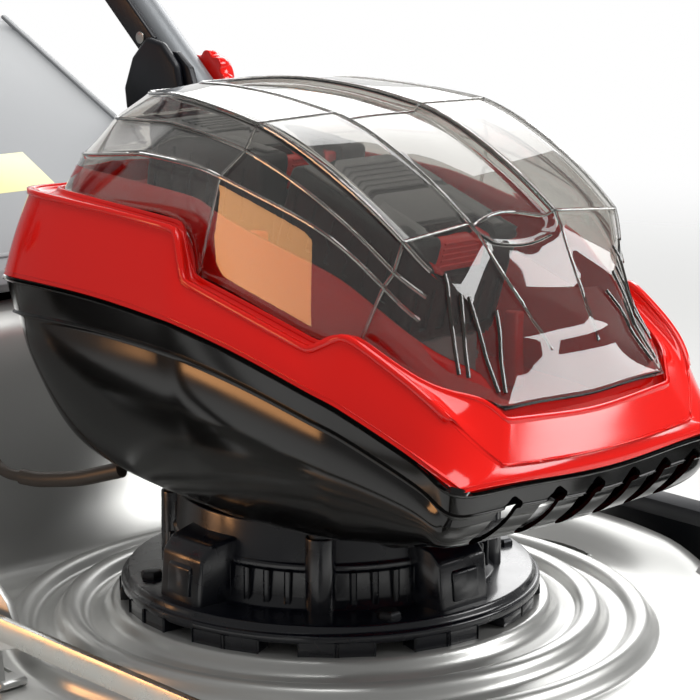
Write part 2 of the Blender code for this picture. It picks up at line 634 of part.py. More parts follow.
def make_upper_housing():
    seam = drawn_in(SEAM, -0.8, -2 * SEAT)
    waist = tuple(
        ((s[0] * 0.5 + c[0] * 0.5) + 1.2, s[1] * 0.5 + c[1] * 0.5 + (1.0 if s[1] > 0 else -1.0), (s[2] + c[2]) / 2)
        if 0 < i < 14 else (0.0, (s[1] + c[1]) / 2, (s[2] + c[2]) / 2)
        for i, (s, c) in enumerate(zip(SEAM, CREASE)))
    under_lip, inner_crease = cover_underside()
    inner_seam = drawn_in(SEAM, HOOD_WALL, -2 * SEAT)
    rings = [hood_ring(half) for half in (seam, waist, CREASE, LIP, under_lip, inner_crease, inner_seam)]
    housing = keep("upper_housing", loft(rings, round_trip=True), RED)
    foot = ((LID_PIN_FORWARD - 4.8, LID_PIN_HEIGHT - 9.2), (LID_PIN_FORWARD + 1.0, LID_PIN_HEIGHT - 9.2))
    for x in (-35.0, 35.0):
        combine(housing, bored_lug("cover_lug_%d" % x, (x - 5, x + 5), LID_PIN_RADIUS + 3.1, 0.0, foot), "UNION")
    return housing


def bored_lug(name, x, radius, start, foot):
    """A lug round the lid's pin: half a circle from the start angle, then two foot places above the rim."""
    forward, height = LID_PIN_FORWARD, RIM_HEIGHT + LID_PIN_HEIGHT
    turns = [start + math.pi * k / 4 for k in range(5)]
    outline = [(forward + radius * math.cos(t), height + radius * math.sin(t)) for t in turns]
    outline += [(spot[0], RIM_HEIGHT + spot[1]) for spot in foot]
    lug = guide(name, slab(outline, x))
    pin = disc(LID_PIN_RADIUS + SEAT, x[0] - 9, x[1] + 9, at(0, forward, height), "X", 8)
    return combine(lug, guide(name + "_bore", pin), "DIFFERENCE")


def make_tray():
    def wall(inset, z=None, drop=0.0):
        moved = drawn_in(LIP, inset, drop)
        return moved if z is None else tuple((x, forward, z) for x, forward, _ in moved)
    under_lip, inner_crease = cover_underside()
    edge = tuple(tuple(a + 0.2 * (b - a) for a, b in zip(*pair)) for pair in zip(under_lip, inner_crease))
    rings = [hood_ring(half) for half in (
        wall(10.0, TRAY_FLOOR), wall(6.5, None, 7.0), drawn_in(edge, 0.0, SEAT + 4.7),
        drawn_in(edge, 0.0, SEAT + 2.3), drawn_in(under_lip, 0.0, 3 * SEAT), wall(4.8, None, HOOD_WALL + SEAT),
        wall(9.5, None, -1.0), wall(12.0, None, -1.0), wall(14.5, TRAY_FLOOR + TRAY_THICK))]
    return keep("battery_tray", loft(rings), RED)


def make_lid():
    skirt = drawn_in(LIP, 1.6, 2.6)
    outside = (SPINE, CROWN, RIDGE, BEVEL, LEDGE, skirt)
    slopes = (0.0, 0.3, 0.5, 0.6, 0.8, 1.0)
    inside = [
        drawn_in(half, LID_WALL * slope, LID_WALL * (1.0 - slope * slope) if half is not SPINE else LID_WALL)
        for half, slope in zip(outside, slopes)]
    rings = [hood_ring(half) for half in (*outside, *inside[::-1])]
    lid = keep("lid", loft(rings, first_cap=False, last_cap=False), CLEAR_SMOKE)
    foot = ((LID_PIN_FORWARD + 6.3, LID_PIN_HEIGHT - 4.5), (LID_PIN_FORWARD + 8.7, LID_PIN_HEIGHT + 4.3))
    for x in (-24.0, 24.0):
        lug = bored_lug("lid_lug_%d" % x, (x - 5, x + 5), LID_PIN_RADIUS + 2.3, math.pi / 2, foot)
        combine(lid, lug, "UNION")
    pin = disc(LID_PIN_RADIUS, -42, 42, at(0, LID_PIN_FORWARD, RIM_HEIGHT + LID_PIN_HEIGHT), "X", 8)
    keep("lid_pin", pin, BRIGHT_STEEL)
    return lid


def pack_frame(forward, height, tilt):
    """Turns a pack's own frame (x, forward, up from its top face) into the mower's."""
    return Matrix.Translation(at(0, forward, RIM_HEIGHT + height)) @ Matrix.Rotation(math.radians(tilt), 4, "X")


def local_block(x, forward, height, edge, frame):
    shape = block(x, forward, height, edge)
    shape.transform(frame @ Matrix.Translation(-at(0, 0, 0)))
    return shape


def make_packs():
    half, wide, deep = PACK_LENGTH / 2, PACK_WIDTH / 2, PACK_DEPTH
    for name, forward, height, tilt in PACKS:
        frame = pack_frame(forward, height, tilt)
        body = keep(name, local_block((-wide, wide), (-half, half), (-deep, 0.0), 4.0, frame), SATIN_BLACK)
        for side in (-1, 1):
            limits = sorted((side * (wide - 7), side * (wide + 1)))
            groove = local_block(limits, (-half - 2, half - 12), (-deep + 9, -deep + 15), 0.0, frame)
            combine(body, guide(name + "_rail_%d" % side, groove), "DIFFERENCE")
        pocket = local_block((-19.0, 19.0), (half - 16, half + 2), (-22.0, 2.0), 0.0, frame)
        combine(body, guide(name + "_pocket", pocket), "DIFFERENCE")
        key = local_block((-18.6, 18.6), (half - 12.0, half - 3), (-22.0 + SEAT, -3.5), 1.5, frame)
        keep(name + "_button", key, RED)


def make_dock():
    rear = pack_frame(*PACKS[0][1:])
    front = pack_frame(*PACKS[1][1:])
    half, deep = PACK_LENGTH / 2, PACK_DEPTH + SEAT
    def corner(frame, forward):
        spot = frame @ Vector((0, -forward * MM, -deep * MM))
        return BLADE_Y - spot.y / MM, spot.z / MM
    base = RIM_HEIGHT + TRAY_FLOOR + TRAY_THICK + SEAT
    rear_back, rear_front = corner(rear, -half + 3), corner(rear, half - 3)
    front_back, front_front = corner(front, -half + 8), corner(front, half - 3)
    outline = (
        (rear_back[0], base), rear_back, rear_front, (rear_front[0] + 2, rear_front[1] - 10),
        (front_back[0] - 2, front_back[1] - 10), front_back, front_front, (front_front[0], base))
    keep("battery_dock", slab(outline, (-30.0, 30.0), 1.5), GREY_PLASTIC)


def make_key():
    spot = at(*KEY_PLACE, RIM_HEIGHT)
    tray = bpy.data.objects["battery_tray"]
    socket = disc(9.0, TRAY_FLOOR + 1.0, KEY_SOCKET_TOP, spot, sides=12)
    combine(tray, guide("key_socket", socket), "UNION")
    well = disc(6.0 + RUN, KEY_SOCKET_TOP - 12.0, KEY_SOCKET_TOP + 5, spot, sides=12)
    combine(tray, guide("key_well", well), "DIFFERENCE")
    key = disc(6.0, KEY_SOCKET_TOP - 12.0 + SEAT, KEY_BOW_HEIGHT - 2.0, spot, sides=12)
    key = keep("safety_key", key, RED)
    bow = ((4.5, -2.0), (9.0, -2.0), (9.0, 2.0), (4.5, 2.0))
    bow = turned(bow, at(*KEY_PLACE, RIM_HEIGHT + KEY_BOW_HEIGHT), "Y", 16)
    combine(key, guide("key_bow", bow), "UNION")


def make_controller():
    keep("controller_box", block((-48, 48), (-60, 60), (RIM_HEIGHT + 50.4, RIM_HEIGHT + 84), 3.0), DARK_STEEL)


# Wheels on cranked axles, and the height lever

def make_wheel(name, forward, radius, side):
    centre = at(side * WHEEL_CENTRE_X, forward, radius)
    half = WHEEL_WIDTH / 2
    bed = radius * 0.74
    tyre = turned((
        (bed, -half + 5), (radius - 7, -half), (radius, -half + 9), (radius, half - 9), (radius - 7, half),
        (bed, half - 5)), centre, "X", WHEEL_SIDES)
    keep(name + "_tyre", tyre, RUBBER)
    seat = bed - SEAT
    bore = AXLE_RADIUS + SEAT
    out = side
    rim = turned(tuple((r, out * z) for r, z in (
        (bore, -half + 2), (17.0, -half + 2), (20.0, -4.0), (seat - 6, -4.0), (seat - 3, -half + 6),
        (seat, -half + 6), (seat, half - 6), (seat - 3, half - 6), (seat - 10, 3.0), (24.0, 4.0), (21.0, half - 6),
        (bore, half - 6))), centre, "X", WHEEL_SIDES)
    rim = keep(name + "_rim", rim, GREY_PLASTIC)
    for k in range(5):
        turn = 2 * math.pi * (k + 0.5) / 5
        ring = (seat + 22) / 2
        spot = centre + Vector((0, math.cos(turn), math.sin(turn))) * ring * MM
        hole = disc((seat - 40) / 3.2, -half, half, spot, "X", 6)
        combine(rim, guide("%s_window_%d" % (name, k), hole), "DIFFERENCE")
    cap = turned(tuple((r, out * z) for r, z in (
        (0.0, half - 6 + SEAT), (19.0, half - 6 + SEAT), (18.0, half - 1), (12.0, half + 1.5), (0.0, half + 2.5))),
        centre, "X", 16)
    keep(name + "_hub_cap", cap, RED)


def capsule(start, end, radius, x, steps=3):
    """A flat link with round ends between two (forward, height) places."""
    along = math.atan2(end[1] - start[1], end[0] - start[0])
    outline = []
    for centre, turn in ((end, along - math.pi / 2), (start, along + math.pi / 2)):
        for k in range(steps + 1):
            t = turn + math.pi * k / steps
            outline.append((centre[0] + radius * math.cos(t), centre[1] + radius * math.sin(t)))
    return slab(outline, x)


def make_axle(name, crank, wheel):
    """A rod through the deck, a flat crank at each end, and stubs for the wheels; the left crank has the tie arm."""
    axle = keep(name, disc(AXLE_RADIUS, -CRANK_X - 1, CRANK_X + 1, at(0, *crank), "X", 12), BRIGHT_STEEL)
    stub_end = WHEEL_CENTRE_X + WHEEL_WIDTH / 2 - 6 - SEAT
    for side in (-1, 1):
        limits = sorted((side * CRANK_X, side * (CRANK_X + CRANK_THICK)))
        arm = capsule(crank, wheel, AXLE_RADIUS + 4, limits)
        combine(axle, guide("%s_crank_%d" % (name, side), arm), "UNION")
        limits = sorted((side * (CRANK_X + 1), side * stub_end))
        stub = disc(AXLE_RADIUS, *limits, at(0, *wheel), "X", 12)
        combine(axle, guide("%s_stub_%d" % (name, side), stub), "UNION")
    tie_arm = capsule(crank, (crank[0], crank[1] + TIE_ARM), 7.0, (-CRANK_X - CRANK_THICK, -CRANK_X))
    combine(axle, guide(name + "_tie_arm", tie_arm), "UNION")
    hole = disc(TIE_PIN_RADIUS + RUN, -CRANK_X - 20, -CRANK_X + 10, at(0, crank[0], crank[1] + TIE_ARM), "X", 8)
    combine(axle, guide(name + "_tie_hole", hole), "DIFFERENCE")


def make_tie_rod():
    """A flat bar that joins the cranks and the lever, with a pin at each; it passes over the deck's side."""
    x = (-CRANK_X - CRANK_THICK - SEAT - TIE_THICK, -CRANK_X - CRANK_THICK - SEAT)
    pins = [(spot[0], spot[1] + TIE_ARM) for spot in (FRONT_CRANK, LEVER_PIVOT, REAR_CRANK)]
    front, lever, rear = pins
    centre = [front, (front[0] - 22, front[1] + 8), (front[0] - 62, lever[1]), (rear[0] + 60, lever[1]), rear]
    top = [(f, h + 6.0) for f, h in centre]
    low = [(f, h - 6.0) for f, h in centre]
    top[0], low[0] = (front[0] + 7, front[1] + 6), (front[0] + 7, front[1] - 6)
    top[-1], low[-1] = (rear[0] - 7, rear[1] + 6), (rear[0] - 7, rear[1] - 6)
    bar = keep("tie_rod", slab(top + low[::-1], x), BRIGHT_STEEL)
    for k, pin in enumerate(pins):
        peg = disc(TIE_PIN_RADIUS, x[0] - 1.5, -CRANK_X - 0.5, at(0, *pin), "X", 8)
        combine(bar, guide("tie_pin_%d" % k, peg), "UNION")


def make_lever():
    plane = (-CRANK_X - CRANK_THICK, -CRANK_X)
    pin = (LEVER_PIVOT[0], LEVER_PIVOT[1] + TIE_ARM)
    arm = keep("height_lever", capsule(LEVER_PIVOT, LEVER_TOP, LEVER_HALF_WIDTH, plane), DARK_STEEL)
    hole = disc(TIE_PIN_RADIUS + RUN, plane[0] - 9, plane[1] + 9, at(0, *pin), "X", 8)
    boss = capsule(LEVER_PIVOT, pin, LEVER_HALF_WIDTH, plane)
    combine(arm, guide("lever_boss", boss), "UNION")
    combine(arm, guide("lever_tie_hole", hole), "DIFFERENCE")
    bore = disc(STUD_RADIUS + SEAT, plane[0] - 9, plane[1] + 9, at(0, *LEVER_PIVOT), "X", 16)
    combine(arm, guide("lever_bore", bore), "DIFFERENCE")
    knob = turned((
        (0.0, 14.0), (7.0, 12.5), (12.0, 7.0), (13.5, 0.0), (12.0, -10.0), (8.0, -22.0), (0.0, -23.0)),
        at((plane[0] + plane[1]) / 2, LEVER_TOP[0] - 5, LEVER_TOP[1] + 16), "Z", 16)
    knob = keep("lever_knob", knob, RED)
    socket = capsule(LEVER_PIVOT, LEVER_TOP, LEVER_HALF_WIDTH + SEAT, (plane[0] - SEAT, plane[1] + SEAT))
    combine(knob, guide("knob_socket", socket), "DIFFERENCE")


def make_quadrant():
    """A silver plate on the deck's left flat, with arc slots, that carries the lever's stud."""
    foot_low = DECK_HEIGHT + SEAT
    outer = SEAT - CRANK_X
    upright = slab(arc_outline(LEVER_PIVOT, 26.0, 58.0, 20.0, 160.0), (outer, outer + 4))
    plate_body = keep("height_quadrant", upright, DECK_SILVER)
    waist, neck = DECK_HEIGHT + 26, DECK_HEIGHT + 46
    hub = [(-94, foot_low), (-26, foot_low), (-30, waist), (-46, neck), (-74, neck), (-90, waist)]
    combine(plate_body, guide("quadrant_hub", slab(hub, (outer, outer + 4))), "UNION")
    foot = block((outer, 17.0 - CRANK_X), (-96, -24), (foot_low, foot_low + 5), 1.5)
    combine(plate_body, guide("quadrant_foot", foot), "UNION")
    stud = disc(STUD_RADIUS, -CRANK_X - CRANK_THICK - 0.2, -CRANK_X + 1, at(0, *LEVER_PIVOT), "X", 16)
    combine(plate_body, guide("lever_stud", stud), "UNION")
    for k in range(2):
        near = 5.5 * k + 6.5 - CRANK_X
        bend = [(near, -84), (near + 2.5, -84), (near + 4.0, -60), (near + 2.5, -36), (near, -36), (near + 1.5, -60)]
        slot = plate(bend, (foot_low - 3, foot_low + 9))
        combine(plate_body, guide("quadrant_slot_%d" % k, slot), "DIFFERENCE")


def arc_outline(centre, inner, outer, start, end, steps=6):
    """A band along part of a circle, as a closed outline."""
    angles = [math.radians(start + (end - start) * k / steps) for k in range(steps + 1)]
    out = [(centre[0] + outer * math.cos(t), centre[1] + outer * math.sin(t)) for t in angles]
    back = [(centre[0] + inner * math.cos(t), centre[1] + inner * math.sin(t)) for t in reversed(angles)]
    return out + back


def make_all_wheels():
    ends = (("front", FRONT_WHEEL_FORWARD, FRONT_WHEEL_RADIUS), ("rear", REAR_WHEEL_FORWARD, REAR_WHEEL_RADIUS))
    for end, forward, radius in ends:
        make_wheel(end + "_left", forward, radius, -1)
        make_wheel(end + "_right", forward, radius, 1)
    make_axle("front_axle", FRONT_CRANK, (FRONT_WHEEL_FORWARD, FRONT_WHEEL_RADIUS))
    make_axle("rear_axle", REAR_CRANK, (REAR_WHEEL_FORWARD, REAR_WHEEL_RADIUS))


# Rear flap, grass box and trailing skirt

def make_flap():
    slope = math.radians(FLAP_ANGLE)
    def along(distance, above):
        return (
            FLAP_PIN_FORWARD - distance * math.cos(slope) + above * math.sin(slope),
            FLAP_PIN_HEIGHT + distance * math.sin(slope) + above * math.cos(slope))
    top = [along(d, a) for d, a in ((-7.0, 2.0), (0.0, 7.5), (FLAP_LENGTH - 40, 7.0), (FLAP_LENGTH, 1.0))]
    under = ((FLAP_LENGTH, -3.0), (FLAP_LENGTH - 42, 3.0), (8.0, 3.5), (4.0, -5.5), (-5.0, -5.5))
    under = [along(d, a) for d, a in under]
    half = FLAP_HALF_WIDTH
    flap = keep("rear_flap", slab(top + under, (-half, half)), GREY_PLASTIC)
    cheek = ((10.0, 5.0), (FLAP_LENGTH - 44, 5.0), (FLAP_LENGTH - 60, -9.0), (30.0, -9.0))
    cheek = [along(d, a) for d, a in cheek]
    for side in (-1, 1):
        limits = sorted((side * (half - 5), side * (half - 1)))
        combine(flap, guide("flap_cheek_%d" % side, slab(cheek, limits)), "UNION")
    bore = disc(FLAP_PIN_RADIUS + SEAT, -half - 9, half + 9, at(0, FLAP_PIN_FORWARD, FLAP_PIN_HEIGHT), "X", 12)
    combine(flap, guide("flap_bore", bore), "DIFFERENCE")
    reach = half + 14
    rod = disc(FLAP_PIN_RADIUS, -reach, reach, at(0, FLAP_PIN_FORWARD, FLAP_PIN_HEIGHT), "X", 12)
    keep("rear_flap_rod", rod, BRIGHT_STEEL)
    deck = bpy.data.objects["deck_shell"]
    for side, name in ((-1, "left"), (1, "right")):
        limits = sorted((side * (half + 1.5), side * (half + 8)))
        centre = (FLAP_PIN_FORWARD, FLAP_PIN_HEIGHT)
        ear = slab([
            (centre[0] - 4, TUNNEL_TOP - 18), (centre[0] - 8, centre[1] + 5), (centre[0] + 3, centre[1] + 8),
            (centre[0] + 9, centre[1] + 2), (centre[0] + 12, TUNNEL_TOP - 16)], limits)
        combine(deck, guide("flap_ear_" + name, ear), "UNION")
    hole = disc(FLAP_PIN_RADIUS + RUN, -reach - 9, reach + 9, at(0, FLAP_PIN_FORWARD, FLAP_PIN_HEIGHT), "X", 8)
    combine(deck, guide("flap_ear_bore", hole), "DIFFERENCE")


def make_box():
    """The grass box: a blown plastic bin with an open mouth that sits in the deck's tunnel, under the flap."""
    slope = math.tan(math.radians(FLAP_ANGLE))
    def under_flap(forward):
        return FLAP_PIN_HEIGHT + (FLAP_PIN_FORWARD - forward) * slope - 12.5
    mouth, knee, tail = FLAP_PIN_FORWARD - 15.0, -560.0, -720.0
    low = MOUTH_BOTTOM
    sections = (
        (mouth, BOX_HALF_WIDTH, low, under_flap(mouth)),
        (-430.0, BOX_HALF_WIDTH, low - 2, under_flap(-430.0)),
        (-500.0, BOX_HALF_WIDTH + 3, low - 20, under_flap(-500.0)),
        (knee, BOX_HALF_WIDTH + 22, low - 30, under_flap(knee) - 6),
        (-660.0, BOX_HALF_WIDTH + 26, low - 30, under_flap(knee) - 9),
        (tail, BOX_HALF_WIDTH + 12, low - 12, under_flap(knee) - 40),
    )
    def ring(forward, half, bottom, top, wall):
        a, r = half - wall, 26.0
        b, t = bottom + wall, top - wall
        spots = (
            (a - r, b), (a, b + r), (a, (b + t) / 2), (a, t - r), (a - r * 0.3, t - r * 0.3), (a - r, t), (0.0, t + 3),
            (r - a, t), (r * 0.3 - a, t - r * 0.3), (-a, t - r), (-a, (b + t) / 2), (-a, b + r), (r - a, b))
        return [at(x, forward, z) for x, z in spots]
    outside = [ring(*section, 0.0) for section in sections]
    inside = [ring(f, h, b, t, BOX_WALL) for f, h, b, t in sections]
    inside[-1] = ring(tail + BOX_WALL, *sections[-1][1:], BOX_WALL)
    bin_body = keep("grass_box", loft(outside[::-1] + inside), SATIN_BLACK)
    grip_low = sections[4][3]
    arch = (
        (-600, 1), (-606, 26), (-622, 34), (-650, 30), (-664, -3), (-654, -3), (-644, 19), (-622, 23), (-612, 18),
        (-609, 1))
    arch = slab([(forward, grip_low + above) for forward, above in arch], (-52.0, 52.0))
    grip = keep("grass_box_handle", arch, RED)
    skin = loft([ring(*section, -SEAT) for section in sections])
    combine(grip, guide("bin_skin", skin), "DIFFERENCE")
    for side, name in ((-1, "left"), (1, "right")):
        limits = sorted((side * (BOX_HALF_WIDTH - 6), side * (MOUTH_HALF_WIDTH + 10)))
        hook = block(limits, (-292.0, -272.0), (TUNNEL_TOP + SEAT, TUNNEL_TOP + 9))
        combine(bin_body, guide("box_hook_" + name, hook), "UNION")
    return bin_body


def make_skirt():
    """A rubber skirt that trails behind the blade chamber, on a rod through the tunnel's walls."""
    forward, height, half = -272.0, 120.0, TUNNEL_HALF_WIDTH - SHEET - 3
    shape = slab([
        (forward - 6, height + 6), (forward + 6, height + 6), (forward + 7, height - 4), (forward - 1, 44.0),
        (forward - 6, 44.0), (forward - 1, height - 6)], (-half, half))
    skirt = keep("trailing_skirt", shape, RUBBER)
    reach = TUNNEL_HALF_WIDTH + 4
    combine(skirt, guide("skirt_rod", disc(3.0, -reach, reach, at(0, forward, height), "X", 12)), "UNION")
    hole = disc(3.0 + RUN, -240, 240, at(0, forward, height), "X", 8)
    combine(bpy.data.objects["deck_shell"], guide("skirt_rod_bore", hole), "DIFFERENCE")


# Handle, folding at the deck and half way up

def handle_place(distance, x=0.0, above=0.0):
    """A place along the handle's line from its pivot."""
    forward = PIVOT_FORWARD - distance * math.cos(RISE) + above * math.sin(RISE)
    return at(x, forward, PIVOT_HEIGHT + distance * math.sin(RISE) + above * math.cos(RISE))


def make_brackets():
    """Black brackets bolted on the tunnel's top edge, which hold the handle's pivots."""
    inner = TUBE_X - TUBE_RADIUS - 1.0 - BRACKET_THICK
    for side, name in ((-1, "left"), (1, "right")):
        limits = sorted((side * inner, side * (inner + BRACKET_THICK)))
        foot = TUNNEL_TOP + SEAT
        outline = [
            (-268.0, foot), (-282.0, foot + 12), (-308.0, foot + 30), (-330.0, 400.0), (-338.0, 420.0),
            (-352.0, 430.0), (-368.0, 429.0), (-380.0, 418.0), (-384.0, 400.0), (-372.0, 330.0), (-352.0, 270.0),
            (-340.0, 275.5), (-301.0, foot + 1), (-290.0, foot)]
        bracket = keep("handle_bracket_" + name, slab(outline, limits), SATIN_BLACK)
        bolt_hole = disc(STUD_RADIUS + SEAT, -230, 230, at(0, PIVOT_FORWARD, PIVOT_HEIGHT), "X", 12)
        combine(bracket, guide("pivot_hole_" + name, bolt_hole), "DIFFERENCE")


def make_pivot(name, side, distance, finish):
    """A bolt through bracket and tube with a domed clamp knob outside."""
    spot = handle_place(distance)
    inside = TUBE_X - TUBE_RADIUS - 1.0 - BRACKET_THICK - 5.0
    out = TUBE_X + TUBE_RADIUS
    profile = (
        (0.0, inside), (6.5, inside), (6.5, inside + 4.7), (STUD_RADIUS, inside + 4.7), (STUD_RADIUS, out + SEAT),
        (17.0, out + SEAT), (18.0, out + 6), (15.5, out + 13), (9.0, out + 18), (0.0, out + 19.5))
    keep(name, turned(tuple((r, side * z) for r, z in profile), spot, "X", 16), finish)


def tube_end_cut(tube_object, name, distance):
    hole = disc(STUD_RADIUS + SEAT, -260, 260, handle_place(distance), "X", 12)
    combine(tube_object, guide(name, hole), "DIFFERENCE")


def make_handle():
    route = [handle_place(-20, -TUBE_X), handle_place(LOWER_LENGTH + 22, -TUBE_X)]
    lower = keep("lower_handle", solid_tube(route, TUBE_RADIUS, 12), GREY_TUBE)
    other = solid_tube([handle_place(-20, TUBE_X), handle_place(LOWER_LENGTH + 22, TUBE_X)], TUBE_RADIUS, 12)
    cross = solid_tube([handle_place(CROSS_AT, -TUBE_X), handle_place(CROSS_AT, TUBE_X)], 8.0, 10)
    combine(lower, guide("lower_cross", cross), "UNION")
    combine(lower, guide("lower_other", other), "UNION")
    tube_end_cut(lower, "lower_pivot_bore", 0.0)
    tube_end_cut(lower, "lower_joint_bore", LOWER_LENGTH)
    inset = UPPER_TUBE_X
    top = LOWER_LENGTH + UPPER_LENGTH
    route = [
        handle_place(LOWER_LENGTH - 22, -inset), handle_place(top - 26, -inset), handle_place(top, -inset + 26),
        handle_place(top, inset - 26), handle_place(top - 26, inset), handle_place(LOWER_LENGTH - 22, inset)]
    upper = keep("upper_handle", solid_tube(rounded_route(route, 34.0, 3), TUBE_RADIUS, 12), GREY_TUBE)
    tube_end_cut(upper, "upper_joint_bore", LOWER_LENGTH)
    for side, name in ((-1, "left"), (1, "right")):
        make_pivot("pivot_knob_" + name, side, 0.0, RED)
        make_cam(name, side)


def make_cam(name, side):
    """A quick-release lever and its bolt at the handle's upper joint."""
    spot = handle_place(LOWER_LENGTH)
    inset = TUBE_X - 3 * TUBE_RADIUS - 2.0
    out = TUBE_X + TUBE_RADIUS
    profile = (
        (0.0, inset - 5), (7.0, inset - 5), (7.0, inset - SEAT), (STUD_RADIUS, inset - SEAT),
        (STUD_RADIUS, out + SEAT), (9.0, out + SEAT), (9.0, out + 14), (0.0, out + 14))
    cam = keep("cam_lever_" + name, turned(tuple((r, side * z) for r, z in profile), spot, "X", 12), RED)
    limits = sorted((side * (out + 2), side * (out + 12)))
    outline = []
    for distance, above in ((-10.0, -7.0), (-10.0, 7.0), (40.0, 9.0), (74.0, 5.0), (74.0, -3.0), (40.0, -6.0)):
        place = handle_place(LOWER_LENGTH + distance, 0.0, above)
        outline.append((BLADE_Y - place.y / MM, place.z / MM))
    arm = slab(outline, limits)
    combine(cam, guide("cam_arm_" + name, arm), "UNION")


def make_controls():
    """Switch box under the crossbar's left, its start button, the foam grip, and the bail behind it."""
    top = LOWER_LENGTH + UPPER_LENGTH
    half = 96.0
    grip = solid_tube([handle_place(top, -half), handle_place(top, half)], GRIP_RADIUS, 16)
    grip = keep("grip", grip, RUBBER)
    bore = solid_tube([handle_place(top, -half - 9), handle_place(top, half + 9)], TUBE_RADIUS + RUN, 12)
    combine(grip, guide("grip_bore", bore), "DIFFERENCE")
    inset = -UPPER_TUBE_X
    outline = []
    case_side = ((-150.0, -20.0), (-156.0, 16.0), (-132.0, 26.0), (-80.0, 22.0), (-70.0, 8.0), (-76.0, -18.0))
    for distance, above in case_side:
        place = handle_place(top + distance, 0.0, above)
        outline.append((BLADE_Y - place.y / MM, place.z / MM))
    case = keep("switch_box", slab(outline, (inset - 20, inset + 24), 4.0), SATIN_BLACK)
    bore = solid_tube([handle_place(top - 170, inset), handle_place(top - 60, inset)], TUBE_RADIUS + RUN, 12)
    combine(case, guide("switch_bore", bore), "DIFFERENCE")
    well = handle_place(top - 106, inset + 2, 16)
    tilt = Matrix.Translation(well) @ Matrix.Rotation(RISE, 4, "X")
    pocket = disc(8.0 + SEAT, -9.0, 30.0, Vector((0, 0, 0)), sides=16)
    pocket.transform(tilt)
    combine(case, guide("button_well", pocket), "DIFFERENCE")
    button = disc(8.0, 0.5, 12.5, Vector((0, 0, 0)), sides=16)
    button.transform(tilt)
    keep("start_button", button, RED)


def make_bail():
    """A bent wire that the user pulls to the crossbar; it turns in two small holders on the handle's legs."""
    top = LOWER_LENGTH + UPPER_LENGTH
    side = UPPER_TUBE_X - TUBE_RADIUS - 8.0
    pivot = -BAIL_PIVOT
    route = [
        handle_place(top + pivot, -side - 15, 0.0), handle_place(top + pivot, -side, 0.0),
        handle_place(top + pivot + 30, -side, 34.0), handle_place(top + pivot + 72, -side + 34, 50.0),
        handle_place(top + pivot + 72, side - 34, 50.0), handle_place(top + pivot + 30, side, 34.0),
        handle_place(top + pivot, side, 0.0), handle_place(top + pivot, side + 15, 0.0)]
    shape = solid_tube(rounded_route(route, 8.0, 2), 3.5, 6)
    keep("bail", shape, BRIGHT_STEEL)
    for end in (-1, 1):
        hole = disc(3.5 + RUN, side + 3, side + 17, Vector((0, 0, 0)), "X", 8)
        hole.transform(Matrix.Translation(handle_place(top + pivot)) @ Matrix.Diagonal((end, 1, 1, 1)))
        combine(bpy.data.objects["upper_handle"], guide("bail_hole_%d" % end, hole), "DIFFERENCE")


def make_cables():
    """The control cable in three runs: hood to handle pivot, pivot to upper joint, and on to the switch box.

    Neighbouring runs meet end to end on the hinge axis that they cross, so that the handle can fold.
    """
    pivot_x, joint_x, break_gap = 33.0 - TUBE_X, 54.0 - TUBE_X, SEAT / 2
    lower_x = 11.0 - TUBE_X
    upper_x = 11.0 - UPPER_TUBE_X
    route = [
        at(-70, -98, RIM_HEIGHT + 45), at(-78, -128, RIM_HEIGHT + 22), at(-84, -160, RIM_HEIGHT + 12),
        at(-92, -186, RIM_HEIGHT + 22), at(-100, -212, RIM_HEIGHT + 92), at(-132, -222, FLAP_PIN_HEIGHT - 6),
        at(pivot_x - 4, -240, FLAP_PIN_HEIGHT + 17), at(pivot_x - 6, -292, FLAP_PIN_HEIGHT + 52),
        at(pivot_x - 6, -340, PIVOT_HEIGHT - 9), at(pivot_x - 6, PIVOT_FORWARD, PIVOT_HEIGHT),
        at(pivot_x - break_gap, PIVOT_FORWARD, PIVOT_HEIGHT)]
    tube("control_cable", rounded_route(route, 14.0, 2), CABLE_RADIUS, RUBBER, 1)
    route = [
        handle_place(0, pivot_x + break_gap), handle_place(0, pivot_x + 6), handle_place(26, pivot_x + 6),
        handle_place(72, lower_x, -CABLE_BELOW), handle_place(LOWER_LENGTH - 74, lower_x, -CABLE_BELOW),
        handle_place(LOWER_LENGTH - 34, joint_x - 4), handle_place(LOWER_LENGTH, joint_x - 4),
        handle_place(LOWER_LENGTH, joint_x - break_gap)]
    tube("cable_lower", rounded_route(route, 10.0, 2), CABLE_RADIUS, RUBBER, 1)
    top = LOWER_LENGTH + UPPER_LENGTH
    route = [
        handle_place(LOWER_LENGTH, joint_x + break_gap), handle_place(LOWER_LENGTH, joint_x + 5),
        handle_place(LOWER_LENGTH + 26, joint_x + 5), handle_place(LOWER_LENGTH + 72, upper_x, -CABLE_BELOW),
        handle_place(top - 152.5, upper_x, -CABLE_BELOW)]
    tube("cable_upper", rounded_route(route, 10.0, 2), CABLE_RADIUS, RUBBER, 1)


# The packed pieces, in the order of assembly

def build():
    clear_scene()
    make_deck()
    make_side_flap()
    make_flange()
    make_rotor()
    make_blade_bolt()
    make_lower_housing()
    make_upper_housing()
    make_tray()
    make_lid()
    make_packs()
    make_dock()
    make_key()
    make_controller()
    make_all_wheels()
    make_tie_rod()
    make_lever()
    make_quadrant()
    make_flap()
    make_box()
    make_skirt()
    make_brackets()
    make_handle()
    make_controls()
    make_bail()
    make_cables()


build()
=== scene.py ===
"""A cordless lawn mower with a pressed steel deck and a battery hood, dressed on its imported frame."""

import json
import math

import bmesh
import bpy
from mathutils import Matrix, Vector


